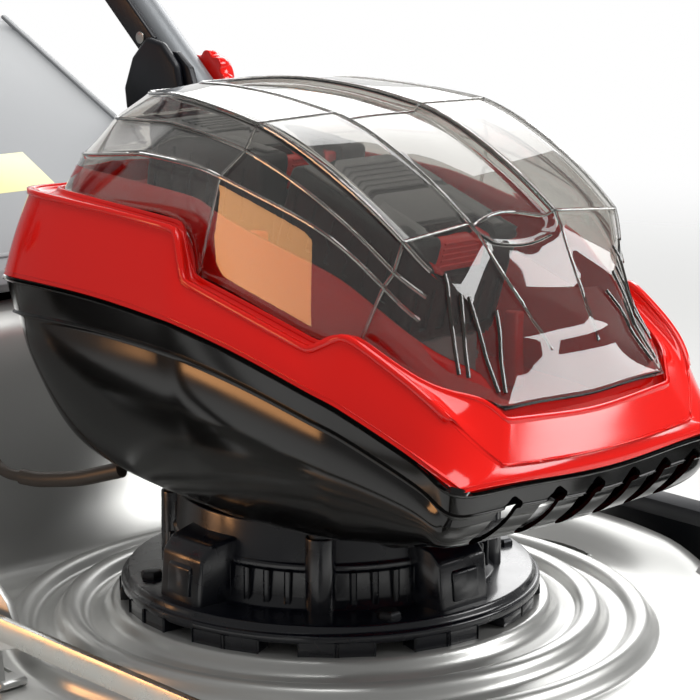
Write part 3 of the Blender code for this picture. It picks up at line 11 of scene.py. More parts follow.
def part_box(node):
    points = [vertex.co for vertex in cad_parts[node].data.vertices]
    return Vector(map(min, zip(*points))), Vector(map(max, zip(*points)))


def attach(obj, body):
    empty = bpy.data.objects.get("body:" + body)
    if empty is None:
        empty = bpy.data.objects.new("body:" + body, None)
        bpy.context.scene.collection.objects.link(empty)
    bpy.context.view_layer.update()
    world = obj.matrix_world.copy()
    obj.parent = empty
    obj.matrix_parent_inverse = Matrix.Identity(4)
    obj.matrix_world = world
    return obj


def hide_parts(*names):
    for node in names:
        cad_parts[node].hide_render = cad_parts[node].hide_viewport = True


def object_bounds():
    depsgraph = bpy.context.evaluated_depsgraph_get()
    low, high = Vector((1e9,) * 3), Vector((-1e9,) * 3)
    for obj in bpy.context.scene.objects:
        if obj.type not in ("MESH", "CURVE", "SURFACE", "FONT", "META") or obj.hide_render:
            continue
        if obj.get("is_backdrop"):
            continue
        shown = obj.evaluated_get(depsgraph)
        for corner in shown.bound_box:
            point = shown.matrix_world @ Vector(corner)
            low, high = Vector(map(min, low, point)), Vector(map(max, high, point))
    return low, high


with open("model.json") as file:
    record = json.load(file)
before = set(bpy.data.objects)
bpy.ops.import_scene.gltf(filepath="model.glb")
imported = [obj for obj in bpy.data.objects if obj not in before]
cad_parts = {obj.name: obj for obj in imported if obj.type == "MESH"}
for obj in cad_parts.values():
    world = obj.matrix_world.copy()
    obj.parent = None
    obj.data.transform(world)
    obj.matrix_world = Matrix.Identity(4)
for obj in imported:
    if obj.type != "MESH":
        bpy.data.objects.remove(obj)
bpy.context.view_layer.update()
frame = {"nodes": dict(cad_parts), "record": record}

# The camera
# It stands 1.33 m from the motor seat, at the mower's front left and a little above the hood.
# Sizes below are in millimetres: right of the blade's axis, ahead of it, and above the ground.
seat_low, seat_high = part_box("motor_flange")
AXIS_Y = (seat_low.y + seat_high.y) / 2
RIM = 184.0


def place(x, forward, height):
    """A point in the frame's metres from the mower's own millimetres."""
    return Vector((x / 1000, AXIS_Y - forward / 1000, height / 1000))


# It looks 12.5 degrees down, from 42 degrees left of straight ahead of the mower.
BACK = Vector((-0.653, -0.7255, 0.2164)).normalized()
RIGHT = Vector((0.743, -0.669, 0.0)).normalized()
UP = BACK.cross(RIGHT)
lens = bpy.data.cameras.new("photograph_lens")
lens.lens = 123.4
lens.sensor_width = 36.0
lens.clip_start = 0.05
camera = bpy.data.objects.new("photograph_camera", lens)
stand = place(0, 0, RIM) + RIGHT * 0.0106 + UP * 0.1167 + BACK * 1.333
camera.matrix_world = Matrix.Translation(stand) @ Matrix((RIGHT, UP, BACK)).transposed().to_4x4()
bpy.context.scene.collection.objects.link(camera)
bpy.context.scene.camera = camera
bpy.context.scene.view_settings.view_transform = "Standard"


# The studio
# A white floor runs into a white backdrop, which stands behind the mower and is dark further round.
# Soft boxes stand at the right and behind, a lamp hangs above, and a warm card is at the left.
def colour(code):
    """An sRGB hex colour as the linear numbers that a shader takes."""
    parts = [int(code[i:i + 2], 16) / 255 for i in (0, 2, 4)]
    return (*(part / 12.92 if part <= 0.04045 else ((part + 0.055) / 1.055) ** 2.4 for part in parts), 1.0)


def add(tree, kind, settings=(), **inputs):
    """Adds a node with its settings; an input is a value, or the output that feeds it."""
    made = tree.nodes.new("ShaderNode" + kind)
    for name, value in dict(settings).items():
        setattr(made, name, value)
    for name, value in inputs.items():
        spot = int(name[1:]) if name[0] == "_" else name.replace("_", " ")
        if isinstance(value, bpy.types.NodeSocket):
            tree.links.new(value, made.inputs[spot])
        else:
            made.inputs[spot].default_value = value
    return made


world = bpy.data.worlds.new("studio")
world.use_nodes = True
bpy.context.scene.world = world
tree = world.node_tree
tree.nodes.clear()
ray = add(tree, "LightPath").outputs
direction = add(tree, "TexCoord").outputs["Generated"]
ahead = add(tree, "VectorMath", {"operation": "DOT_PRODUCT"}, _0=direction, _1=(0.669, 0.743, 0.0))
backdrop = add(
    tree, "MapRange", {"interpolation_type": "SMOOTHSTEP"},
    Value=ahead.outputs["Value"], From_Min=0.70, From_Max=0.86, To_Min=0.22, To_Max=1.0)
seen = add(tree, "Math", {"operation": "MAXIMUM"}, _0=ray["Is Camera Ray"], _1=ray["Is Transmission Ray"])
mirrored = add(
    tree, "Mix", {"data_type": "FLOAT"}, _0=ray["Is Glossy Ray"], _2=0.55, _3=backdrop.outputs["Result"])
strength = add(
    tree, "Mix", {"data_type": "FLOAT"}, _0=seen.outputs[0], _2=mirrored.outputs[0], _3=1.0)
sky = add(tree, "Background", Color=(1, 1, 1, 1), Strength=strength.outputs[0])
add(tree, "OutputWorld", Surface=sky.outputs[0])

# The floor is matt paper, which fades out far from the mower, so that no horizon shows.
shape = bmesh.new()
bmesh.ops.create_circle(shape, cap_ends=True, radius=6.0, segments=96)
mesh = bpy.data.meshes.new("studio_floor")
shape.to_mesh(mesh)
shape.free()
floor = bpy.data.objects.new("studio_floor", mesh)
bpy.context.scene.collection.objects.link(floor)
paper = bpy.data.materials.new("matt_white_paper")
paper.use_nodes = True
tree = paper.node_tree
shader = tree.nodes["Principled BSDF"]
shader.inputs["Base Color"].default_value = colour("F4F4F2")
shader.inputs["Roughness"].default_value = 0.7
shader.inputs["Specular IOR Level"].default_value = 0.0
middle = add(tree, "VectorMath", {"operation": "LENGTH"}, _0=add(tree, "TexCoord").outputs["Object"])
far = add(
    tree, "MapRange", {"interpolation_type": "SMOOTHSTEP"},
    Value=middle.outputs["Value"], From_Min=1.1, From_Max=2.6)
clear = add(tree, "BsdfTransparent")
fade = add(tree, "MixShader", _0=far.outputs["Result"], _1=shader.outputs[0], _2=clear.outputs[0])
tree.links.new(fade.outputs[0], tree.nodes["Material Output"].inputs["Surface"])
floor.data.materials.append(paper)
floor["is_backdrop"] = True


def soft_box(name, towards, distance, size, power, tint="FFFFFF", diffuse=True):
    """An area lamp that looks at the hood from a direction."""
    lamp = bpy.data.lights.new(name, "AREA")
    lamp.shape = "RECTANGLE"
    lamp.size, lamp.size_y = size
    lamp.energy = power
    lamp.color = colour(tint)[:3]
    made = bpy.data.objects.new(name, lamp)
    towards = Vector(towards).normalized()
    hood = place(0, 0, RIM + 120)
    facing = towards.to_track_quat("Z", "Y").to_matrix().to_4x4()
    made.matrix_world = Matrix.Translation(hood + towards * distance) @ facing
    made.visible_diffuse = diffuse
    made.visible_camera = made.visible_transmission = False
    bpy.context.scene.collection.objects.link(made)


soft_box("right_soft_box", (0.653, -0.60, 0.46), 1.7, (0.8, 0.62), 15.0)
soft_box("top_soft_box", (0.1, -0.25, 1.0), 1.9, (1.5, 1.1), 26.0)
soft_box("rear_soft_box", (0.60, 0.58, 0.46), 2.1, (1.5, 1.3), 20.0, diffuse=False)
soft_box("warm_card", (-0.79, 0.60, 0.02), 1.8, (0.75, 0.45), 9.0, "FFB674", diffuse=False)


# Red cover
# Gloss red ABS, moulded in one shot. Its rim rises to a rounded crest with a groove inside, in which
# the lid's edge lies; it steps down beside the batteries and again before the nose.
def finish(name, base, roughness, metallic=0.0, **inputs):
    """A named material with its shader's fixed values and a Texture Coordinate node."""
    made = bpy.data.materials.new(name)
    made.use_nodes = True
    shader = made.node_tree.nodes["Principled BSDF"]
    shader.inputs["Base Color"].default_value = colour(base)
    shader.inputs["Roughness"].default_value = roughness
    shader.inputs["Metallic"].default_value = metallic
    for key, value in inputs.items():
        shader.inputs[key.replace("_", " ")].default_value = value
    add(made.node_tree, "TexCoord")
    return made


def vary(coat, size, low, high):
    """Lets the roughness drift between two values over patches of that size in millimetres."""
    tree = coat.node_tree
    coords = tree.nodes["Texture Coordinate"].outputs["Object"]
    noise = add(tree, "TexNoise", _0=coords, Scale=1000 / size, Detail=3.0)
    spread = add(
        tree, "MapRange", Value=noise.outputs[0], From_Min=0.3, From_Max=0.7, To_Min=low, To_Max=high)
    tree.links.new(spread.outputs["Result"], tree.nodes["Principled BSDF"].inputs["Roughness"])


# Moulded ABS from a polished tool: clear reflections that are hardly broken up.
red_abs = finish("red_gloss_abs", "DB140C", 0.10, IOR=1.5)
vary(red_abs, 60.0, 0.08, 0.12)

# Half rings from the middle of the back to the middle of the nose: right, ahead, above the seat's rim.
SEAM = (
    (0, -170, 151), (57, -169, 152), (105, -156, 154), (117, -118, 156.5), (118.5, -55, 157),
    (118.5, -2, 154), (119, 14, 153), (118, 62, 146), (114, 112, 134), (111, 130, 129), (103, 163, 115),
    (99, 182, 106), (95, 197, 98), (60, 200.5, 98), (0, 203, 95),
)
CREASE = (
    (0, -160, 197), (53, -159, 198), (90, -151, 200), (102, -117, 201), (104, -55, 200), (104, -2, 197),
    (110, 13, 174), (111, 60, 164), (107, 104, 153), (101, 126, 161), (92, 168, 140), (80, 187, 119),
    (68, 198, 106), (36, 201, 104), (0, 202.5, 103),
)
LIP = (
    (0, -149, 199), (46, -148, 200), (77, -140, 202), (89, -112, 203), (93, -55, 202), (94, -9, 199.5),
    (100, 9, 176), (101, 60, 166), (97, 101, 155.5), (91, 123, 160), (81, 161, 142), (66, 180, 137),
    (57, 190.5, 127), (30, 192, 125), (0, 193, 123.5),
)
GROOVE = [1.0] * 10 + [0.8, 0.3, 0.0, 0.0, 0.0]


def drawn_in(half, inset, drop=0.0):
    """A half ring moved towards the inside in plan, and down."""
    moved = []
    last = len(half) - 1
    for i, (x, forward, z) in enumerate(half):
        before = half[i - 1] if i else (-half[1][0], *half[1][1:])
        after = half[i + 1] if i < last else (-half[last - 1][0], *half[last - 1][1:])
        along = Vector((after[0] - before[0], after[1] - before[1]))
        inward = Vector((-along.y, along.x)).normalized() * inset
        moved.append((x + inward.x if i not in (0, last) else 0.0, forward + inward.y, z - drop))
    return moved


def between(first, second, share):
    """The half ring at a share of the way from one to another."""
    return [(a + (b - a) * share, c + (d - c) * share, e + (f - e) * share)
            for (a, c, e), (b, d, f) in zip(first, second)]


def lifted(half, rises):
    """A half ring with each of its points moved up by its own amount."""
    return [(x, forward, z + rise) for (x, forward, z), rise in zip(half, rises)]


def in_groove(share, depth):
    """A half ring between crest and lip; the groove fades out before the nose."""
    return lifted(between(CREASE, LIP, share), [-depth * part for part in GROOVE])


def skin(halves, sharp_rows=(), sharp_stations=()):
    """Bridges half rings one to the next and mirrors them; rows and stations can keep an edge."""
    shape = bmesh.new()
    keen = shape.edges.layers.float.new("crease_edge")
    rows = [[shape.verts.new(place(x, forward, RIM + z)) for x, forward, z in half] for half in halves]
    lines = [[shape.edges.new(pair) for pair in zip(row, row[1:])] for row in rows]
    for low, high in zip(lines, lines[1:]):
        bmesh.ops.bridge_loops(shape, edges=low + high)
    for i, weight in dict(sharp_rows).items():
        for edge in lines[i]:
            edge[keen] = weight
    for k, weight in dict(sharp_stations).items():
        for low, high in zip(rows, rows[1:]):
            shape.edges.get((low[k], high[k]))[keen] = weight
    bmesh.ops.mirror(
        shape, geom=shape.verts[:] + shape.edges[:] + shape.faces[:], merge_dist=1e-5, axis="X")
    bmesh.ops.remove_doubles(shape, verts=shape.verts, dist=1e-5)
    bmesh.ops.recalc_face_normals(shape, faces=shape.faces)
    return shape


def fit_corners(made, rounds=3, share=0.6, most=0.012):
    """Moves the corners of a subdivided piece until its smooth surface passes through their places.

    Each round makes a share of the move, and leaves out a move that is longer than the most, in metres.
    """
    aims = [vert.co.copy() for vert in made.data.vertices]
    for _ in range(rounds):
        smooth = made.evaluated_get(bpy.context.evaluated_depsgraph_get()).data
        moves = [aim - vert.co for aim, vert in zip(aims, smooth.vertices)]
        for vert, move in zip(made.data.vertices, moves):
            if move.length < most:
                vert.co += move * share
        made.data.update()


node_body = {
    name: body for body, names in frame["record"]["behaviour"]["bodies"].items() for name in names}


def keep(name, shape, coat, node, stands=True, sharp=35.0, levels=0, wall=0.0):
    """Makes a piece on a CAD node's body; it stands for the node, or is a detail on it."""
    mesh = bpy.data.meshes.new(name)
    shape.to_mesh(mesh)
    shape.free()
    mesh.shade_smooth()
    made = bpy.data.objects.new(name, mesh)
    bpy.context.scene.collection.objects.link(made)
    mesh.materials.append(coat)
    if levels:
        step = made.modifiers.new("rounded", "SUBSURF")
        step.levels = step.render_levels = levels
        fit_corners(made)
    else:
        mesh.set_sharp_from_angle(angle=math.radians(sharp))
    if wall:
        step = made.modifiers.new("wall", "SOLIDIFY")
        step.thickness = wall / 1000
        step.offset = -1.0
        step.use_even_offset = False
    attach(made, node_body[node])
    if stands:
        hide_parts(node)
    return made


hem = drawn_in(SEAM, -0.8, -0.6)
waist = [(x + (1.2 if x else 0.0), forward + (1.0 if forward > 0 else -1.0), z)
         for x, forward, z in between(SEAM, CREASE, 0.5)]
cover_rows = (
    drawn_in(SEAM, 2.4, -0.6), hem, between(hem, CREASE, 0.07), waist, between(hem, CREASE, 0.95),
    CREASE, in_groove(0.22, -0.3), in_groove(0.40, 2.4), in_groove(0.80, 2.6), in_groove(0.93, 0.2), LIP,
    drawn_in(LIP, 0.9, 1.4), drawn_in(LIP, 1.2, 9.0),
)
shape = skin(cover_rows, {1: 0.9, 5: 0.35}, {5: 0.5, 6: 0.5, 8: 0.5, 9: 0.4, 12: 0.7})
keep("red_cover", shape, red_abs, "upper_housing", levels=3, wall=2.2)


# Clear lid
# Smoked polycarbonate, 2.5 mm thick, moulded with long facets, a sunken middle channel and a finger
# notch under its nose. It hinges at the back, and its edge lies in the cover's groove.
LEDGE = (
    (0, -141, 219), (43, -139.5, 219.5), (69, -129, 221), (82, -100, 224), (90, -49, 230.5), (94, 0, 230),
    (96, 25, 227), (95, 70, 216.5), (91, 104, 205), (82, 131, 184), (74, 147, 169), (61, 164, 158),
    (52, 173, 152), (28, 181, 149), (0, 182, 148),
)
BEVEL = (
    (0, -126, 240), (42, -124, 240.5), (58, -112, 241), (64, -80, 243), (70, -46, 245), (80, 2, 243),
    (85, 32, 240), (85, 66, 229.5), (83, 104, 212), (78, 134, 191), (70, 148, 180), (58, 161, 169),
    (49, 169, 163), (26, 177, 159), (0, 178, 158),
)
RIDGE = (
    (0, -110, 254), (37, -107, 254.5), (51, -86, 256), (60, -62, 259), (65, -47, 259.6), (73, -7, 258),
    (80, 36, 253.7), (80, 65.5, 245), (78, 108, 225), (75, 137, 206), (67, 148, 192), (57, 155, 183),
    (47, 158, 179), (26, 161, 177.5), (0, 162, 177),
)
CROWN = (
    (0, -92, 259), (15, -89, 259.5), (24, -79, 260.5), (28, -65, 261.5), (29, -46, 262), (30, -6, 260.5),
    (30, 38, 255), (30, 67, 247), (30, 108, 228), (30, 137, 210), (29, 140.5, 206), (26, 143, 203),
    (22, 145, 200), (12, 146.5, 198), (0, 147, 197),
)
GUTTER = (
    (0, -86, 256.5), (12, -83, 257), (19, -74, 257.5), (23, -61, 258), (24, -45, 258), (25, -6, 256.5),
    (25, 38, 251), (25, 67, 243), (25, 107, 224), (25, 134, 207.5), (23, 136.5, 205), (20, 138.5, 203),
    (16, 140, 201), (8, 141, 200), (0, 141.5, 199.5),
)
SPINE = (
    (0, -83, 257), (0, -79, 257.5), (0, -71, 258), (0, -60, 258.3), (0, -44, 258.5), (0, -6, 257),
    (0, 38, 251.5), (0, 67, 243.5), (0, 106, 225), (0, 128, 211.5), (0, 131, 209), (0, 133, 207),
    (0, 135, 205), (0, 136.5, 203.5), (0, 137.5, 202.5),
)
FINGER_NOTCH = [0.0] * 11 + [1.0, 6.0, 8.0, 8.0]

# Grey-tinted sheet: it darkens what lies behind it a little, and mirrors sharply.
smoke = finish("smoked_polycarbonate", "D6D4CF", 0.02, IOR=1.5, Transmission_Weight=1.0)
lid_rows = (lifted(drawn_in(LIP, 1.6, 2.6), FINGER_NOTCH), LEDGE, BEVEL, RIDGE, CROWN, GUTTER, SPINE)
shape = skin(lid_rows, {1: 1.0, 2: 0.9, 3: 1.0, 4: 0.7, 5: 0.5}, {4: 0.6, 6: 0.8, 9: 0.9, 12: 0.6})
lid_shell = keep("clear_lid", shape, smoke, "lid", levels=3, wall=2.4)


# Ribs of the lid
# Thin beads stand along its facets' edges and across it in two places, and pressed flutes stiffen the
# front corners; all are moulded in one with the lid.
lid_surface = lid_shell.evaluated_get(bpy.context.evaluated_depsgraph_get())
lid_edges = {frozenset(edge.vertices): edge for edge in lid_shell.data.edges}
LAST_ROW, LAST_STATION = len(lid_rows) - 2, len(LEDGE) - 2
SPLITS = 7


def pipe(route, radius, sides=20):
    """A round bar with closed ends along a route of points in metres."""
    shape = bmesh.new()
    rings = []
    side = Vector((1, 0, 0))
    for i, point in enumerate(route):
        onward = (route[min(i + 1, len(route) - 1)] - route[max(i - 1, 0)]).normalized()
        if abs(onward.dot(side)) > 0.9:
            side = Vector((0, 0, 1))
        side = (side - onward * side.dot(onward)).normalized()
        up = onward.cross(side)
        turns = [2 * math.pi * k / sides for k in range(sides)]
        ring = [point + (side * math.cos(t) + up * math.sin(t)) * radius / 1000 for t in turns]
        spots = [shape.verts.new(spot) for spot in ring]
        rings.append([shape.edges.new((a, b)) for a, b in zip(spots, spots[1:] + spots[:1])])
    for low, high in zip(rings, rings[1:]):
        bmesh.ops.bridge_loops(shape, edges=low + high)
    bmesh.ops.contextual_create(shape, geom=rings[0])
    bmesh.ops.contextual_create(shape, geom=rings[-1])
    bmesh.ops.recalc_face_normals(shape, faces=shape.faces)
    return shape


def joined(first, *others):
    """Puts several shapes into one."""
    carrier = bpy.data.meshes.new("carrier")
    for part in others:
        part.to_mesh(carrier)
        part.free()
        first.from_mesh(carrier)
    bpy.data.meshes.remove(carrier)
    return first


def detail(name, shape, coat, node, sharp=35.0):
    """A small piece that rides with a CAD node's body."""
    return keep(name, shape, coat, node, False, sharp)


def on_lid(row, station, side):
    """A place on the lid: rows count up from its edge to the spine, stations from back to front."""
    low, along = min(int(row), LAST_ROW), min(int(station), LAST_STATION)
    ends = [between([half[along]], [half[along + 1]], station - along) for half in lid_rows[low:low + 2]]
    x, forward, height = between(*ends, row - low)[0]
    return place(side * x, forward, RIM + height)


def corner(row, station, side):
    """The number of the vertex at a row's station."""
    spot, spots = on_lid(row, station, side), lid_surface.data.vertices
    return min(range(len(lid_shell.data.vertices)), key=lambda i: (spots[i].co - spot).length)


def bead_along(marks, side, radius):
    """A round bead on the smooth edge through (row, station) marks, which are neighbours.

    Subdivision at level 3 numbers the corners first, then seven new vertices along each edge in turn.
    """
    count, route = len(lid_shell.data.vertices), []
    numbers = [corner(row, station, side) for row, station in marks]
    for first, second in zip(numbers, numbers[1:]):
        edge = lid_edges[frozenset((first, second))]
        inner = [count + edge.index * SPLITS + k for k in range(SPLITS)]
        route += [first] + (inner if edge.vertices[0] == first else inner[::-1])
    spots = [lid_surface.data.vertices[i] for i in route + numbers[-1:]]
    return pipe([spot.co - spot.normal * 0.0003 for spot in spots[::2]], radius, 10)


def flute(ends, side, radius=1.1, steps=8):
    """A bead that runs straight between two (row, station) places, laid on the skin."""
    first, second = (on_lid(row, station, side) for row, station in ends)
    route = []
    for k in range(steps + 1):
        _, near, normal, _ = lid_surface.closest_point_on_mesh(first.lerp(second, k / steps))
        route.append(near - normal * 0.0002)
    return pipe(route, radius, 10)


FLUTES = (
    ((3.1, 10.4), (0.35, 10.7)), ((2.9, 11.2), (0.35, 10.9)), ((2.9, 11.6), (0.3, 11.9)),
    ((2.6, 12.4), (0.3, 12.1)))
beads, flutes = [], []
for side in (-1, 1):
    for row, last in ((1, 10), (2, 10), (3, 10), (4, 9)):
        beads.append(bead_along([(row, station) for station in range(last + 1)], side, 1.1))
    beads.append(flute(((4, 9), (1.3, 13.4)), side, 1.0))
    for station in (6, 9):
        beads.append(bead_along([(row, station) for row in range(7)], side, 1.0))
    flutes += [flute(ends, side) for ends in FLUTES]

# The same sheet where it is thick, in two copies with painted light: the beads' paler tint is a painted
# highlight under a real clear coat, and the flutes' darker tint is painted shade, so that they look dark
# from the front.
bead_glass_lit_copy = finish(
    "polycarbonate_bead_lit_copy", "E4E2DE", 0.05,
    IOR=1.5, Transmission_Weight=1.0, Coat_Weight=0.6, Coat_Roughness=0.03)
flute_glass_shaded_copy = finish("smoked_flute_shaded_copy", "55524E", 0.06, IOR=1.5, Transmission_Weight=0.7)
detail("lid_beads", joined(*beads), bead_glass_lit_copy, "lid")
detail("lid_flutes", joined(*flutes), flute_glass_shaded_copy, "lid")


# Black lower housing
# Gloss black ABS under the cover: a narrow band, a long bulging panel, and six leaning vents that let
# the cooling air out under the nose. A satin black plate behind them is painted shade for the housing's
# inside.
def lower_level(widen, lengthen, shift, height):
    """A level of the lower housing, shrunk from the seam."""
    return [(x * widen, forward * lengthen + shift, height(forward, z)) for x, forward, z in SEAM]


def grain(coat, size, depth, stretch=(1, 1, 1)):
    """Gives a surface a bump of that grain size and depth in millimetres.

    A mould's grain or a drawing line is 0.1 to 0.3 mm wide, which is too fine to show, so those are drawn
    about 1 mm wide.
    """
    tree = coat.node_tree
    coords = tree.nodes["Texture Coordinate"].outputs["Object"]
    mapped = add(tree, "Mapping", _0=coords, Scale=stretch)
    noise = add(tree, "TexNoise", _0=mapped.outputs[0], Scale=1000 / size, Detail=2.0)
    bump = add(tree, "Bump", Strength=1.0, Distance=depth / 1000, Height=noise.outputs[0])
    tree.links.new(bump.outputs[0], tree.nodes["Principled BSDF"].inputs["Normal"])


def round_edges(shape, edge, segments=3, angle=30.0):
    """Bevels the edges that turn by more than an angle."""
    if edge:
        keen = [e for e in shape.edges if e.calc_face_angle(0.0) > math.radians(angle)]
        bmesh.ops.bevel(
            shape, geom=keen, offset=edge / 1000, segments=segments, profile=0.5, affect="EDGES",
            clamp_overlap=True, material=-1)
    return shape


def box(size, move, edge=0.0, segments=3):
    """A box of a size in metres, moved into place by a matrix, with rounded edges."""
    shape = bmesh.new()
    bmesh.ops.create_cube(shape, size=1.0)
    shape.transform(move @ Matrix.Diagonal((*size, 1.0)))
    return round_edges(shape, edge, segments)


def block(x, forward, height, edge=0.0, segments=3):
    """A box between pairs of limits, with rounded edges."""
    low, high = place(x[0], forward[1], height[0]), place(x[1], forward[0], height[1])
    return box(high - low, Matrix.Translation((low + high) / 2), edge, segments)


def boolean(shape, other, way="DIFFERENCE", solver="EXACT"):
    """The shape after a Boolean with another one."""
    pair = []
    for part in (shape, other):
        mesh = bpy.data.meshes.new("operand")
        part.to_mesh(mesh)
        part.free()
        made = bpy.data.objects.new("operand", mesh)
        bpy.context.scene.collection.objects.link(made)
        pair.append(made)
    step = pair[0].modifiers.new("cut", "BOOLEAN")
    step.operation = way
    step.solver = solver
    step.object = pair[1]
    result = bmesh.new()
    result.from_object(pair[0], bpy.context.evaluated_depsgraph_get())
    for made in pair:
        bpy.data.meshes.remove(made.data)
    return result


# The same moulding in black, a little duller than the cover.
black_abs = finish("black_gloss_abs", "0E0D0C", 0.12, IOR=1.5)
vary(black_abs, 60.0, 0.10, 0.15)
band = lower_level(0.97, 0.975, 0.5, lambda forward, z: z - 22 + 8 * (forward + 165) / 368)
bulge = lower_level(0.94, 0.905, 5.0, lambda forward, z: 0.57 * z + 14)
edge = lower_level(0.74, 0.80, 5.0, lambda forward, z: 48 + 13 * ((forward - 20) / 185) ** 2)
foot = lower_level(0.62, 0.56, 8.0, lambda forward, z: 46.3)
lower_rows = (
    drawn_in(SEAM, 2.5, 1.0), drawn_in(SEAM, 0.2, 0.4), between(SEAM, band, 0.12),
    between(SEAM, band, 0.92), drawn_in(band, 0.6), drawn_in(band, 2.4, 1.2),
    drawn_in(between(band, bulge, 0.5), -0.5), bulge, drawn_in(between(bulge, edge, 0.5), -3.0, 1.0),
    edge, foot,
)
shape = skin(lower_rows, {1: 0.6, 4: 0.6, 5: 0.8, 10: 1.0})
black_shell = keep("black_housing", shape, black_abs, "lower_housing", levels=3, wall=2.4)
slots = []
for x in (-64.0, -35.0, -8.5, 18.0, 43.0, 67.0):
    slot = box((0.0105, 0.05, 0.028), Matrix())
    lengthwise = [e for e in slot.edges if abs((e.verts[0].co - e.verts[1].co).normalized().y) > 0.9]
    bmesh.ops.bevel(
        slot, geom=lengthwise, offset=0.0024, segments=4, profile=0.5, affect="EDGES",
        clamp_overlap=True, material=-1)
    spot = place(x, 186 - 0.0016 * x * x, RIM + 77)
    slot.transform(Matrix.Translation(spot) @ Matrix.Rotation(math.radians(34), 4, "Y"))
    slots.append(slot)
shape = bmesh.new()
shape.from_object(black_shell, bpy.context.evaluated_depsgraph_get())
shape = boolean(shape, joined(*slots), solver="MANIFOLD")
black_shell.modifiers.clear()
shape.to_mesh(black_shell.data)
shape.free()
black_shell.data.shade_smooth()
black_shell.data.set_sharp_from_angle(angle=math.radians(38))

# Glass-filled nylon, moulded with a fine grain: a soft sheen without clear reflections.
satin_nylon = finish("satin_black_nylon", "0C0E15", 0.34)
grain(satin_nylon, 0.9, 0.03)
vary(satin_nylon, 25.0, 0.30, 0.44)
# A dark plate behind the vents is painted shade: it stands where the inside of the housing lies in shade, so
# that the vents look dark.
shade_plate = block((-74, 74), (146, 150), (RIM + 66, RIM + 92), 1.0, 2)
detail("vent_shade_plate", shade_plate, satin_nylon, "lower_housing")


# Steel deck
# One pressing of 2.5 mm sheet: a round chamber, a body that is longer in front, and rings pressed round
# the motor seat. A welded tunnel leads up to the grass box at the back. Silver lacquer.
SHEET, DECK, PLATFORM, TUNNEL = 2.5, 150.0, 168.7, 187.0
CHAMBER, HALF_WIDTH, NOSE = 250.0, 200.0, 298.0
BORE = 72.0
FRONT_AXLE, REAR_AXLE, SKIRT_ROD = (231, 103), (-394, 148), (-272, 120)
SIDES = 144


def deck_ring(height, chamber, half, front, lift=0.0, radius=0.0):
    """One loop round the deck: the larger of a circle and a rounded rectangle, or a plain circle."""
    ring = []
    for k in range(SIDES):
        turn = 2 * math.pi * k / SIDES
        side, onward = abs(math.sin(turn)), math.cos(turn)
        body = ((side / half) ** 7 + (abs(onward) / (front if onward > 0 else chamber)) ** 7) ** (-1 / 7)
        reach = radius or (chamber ** 18 + body ** 18) ** (1 / 18)
        x, forward = reach * math.sin(turn), reach * math.cos(turn)
        swell = max(0.0, min(1.0, (x - 150.0) / 70.0)) * max(0.0, 1.0 - (forward / 190.0) ** 2)
        ring.append(place(x, forward, height + lift * swell * swell * (3 - 2 * swell)))
    return ring


def softer(rows, rounds):
    """Cuts the corners between rows of points, and keeps the first and last row."""
    for _ in range(rounds):
        finer = [rows[0]]
        for low, high in zip(rows, rows[1:]):
            finer.append([a.lerp(b, 0.25) for a, b in zip(low, high)])
            finer.append([a.lerp(b, 0.75) for a, b in zip(low, high)])
        rows = finer + [rows[-1]]
    return rows


def rows_skin(rows, round_trip=False):
    """Lays quads between closed rows of points; the ends are capped or joined to each other."""
    shape = bmesh.new()
    rows = [[shape.verts.new(spot) for spot in row] for row in rows]
    pairs = list(zip(rows, rows[1:]))
    if round_trip:
        pairs.append((rows[-1], rows[0]))
    else:
        shape.faces.new(rows[0])
        shape.faces.new(rows[-1])
    for low, high in pairs:
        for a, b, c, d in zip(low, low[1:] + low[:1], high[1:] + high[:1], high):
            shape.faces.new((a, b, c, d))
    bmesh.ops.recalc_face_normals(shape, faces=shape.faces)
    return shape


def pan(inward, rings, bored=False):
    """The pressed part of the deck as a solid, drawn in on every side."""
    chamber, half, front, top = (side - inward for side in (CHAMBER, HALF_WIDTH, NOSE, DECK))
    rows = [
        deck_ring(28.0 if inward else 38.0, chamber, half, front),
        deck_ring(105.0, chamber - 3, half - 3, front - 6),
        deck_ring(top - 14, chamber - 12, half - 9, front - 14, 14.0),
        deck_ring(top - 3, chamber - 23, half - 19, front - 26, 22.0),
        deck_ring(top, 206.0, 166.0, 252.0, 19.0)]
    rows += [deck_ring(height - inward, chamber, half, front, radius=radius) for radius, height in rings]
    if bored:
        return rows_skin(softer(rows, 2) + [deck_ring(38.0, chamber, half, front, radius=BORE)], True)
    return rows_skin(softer(rows, 1))


def slab(outline, x, edge=0.0, segments=3):
    """A side outline of (forward, height) points pushed through from one x to another."""
    shape = bmesh.new()
    rows = [[shape.verts.new(place(side, f, h)) for f, h in outline] for side in x]
    loops = [[shape.edges.new((a, b)) for a, b in zip(row, row[1:] + row[:1])] for row in rows]
    bmesh.ops.bridge_loops(shape, edges=loops[0] + loops[1])
    for loop in loops:
        bmesh.ops.contextual_create(shape, geom=loop)
    bmesh.ops.recalc_face_normals(shape, faces=shape.faces)
    return round_edges(shape, edge, segments)


def eased(points, radius, steps=3, closed=True):
    """Rounds the corners of an outline or of a route."""
    spots = [Vector(point) for point in points]
    rounded = []
    for i, corner in enumerate(spots):
        if not closed and i in (0, len(spots) - 1):
            rounded.append(corner)
            continue
        back, onward = spots[i - 1] - corner, spots[(i + 1) % len(spots)] - corner
        cut = min(radius, back.length * 0.45, onward.length * 0.45)
        start, end = corner + back.normalized() * cut, corner + onward.normalized() * cut
        for k in range(steps + 1):
            t = k / steps
            rounded.append(start * (1 - t) ** 2 + corner * 2 * t * (1 - t) + end * t ** 2)
    return rounded


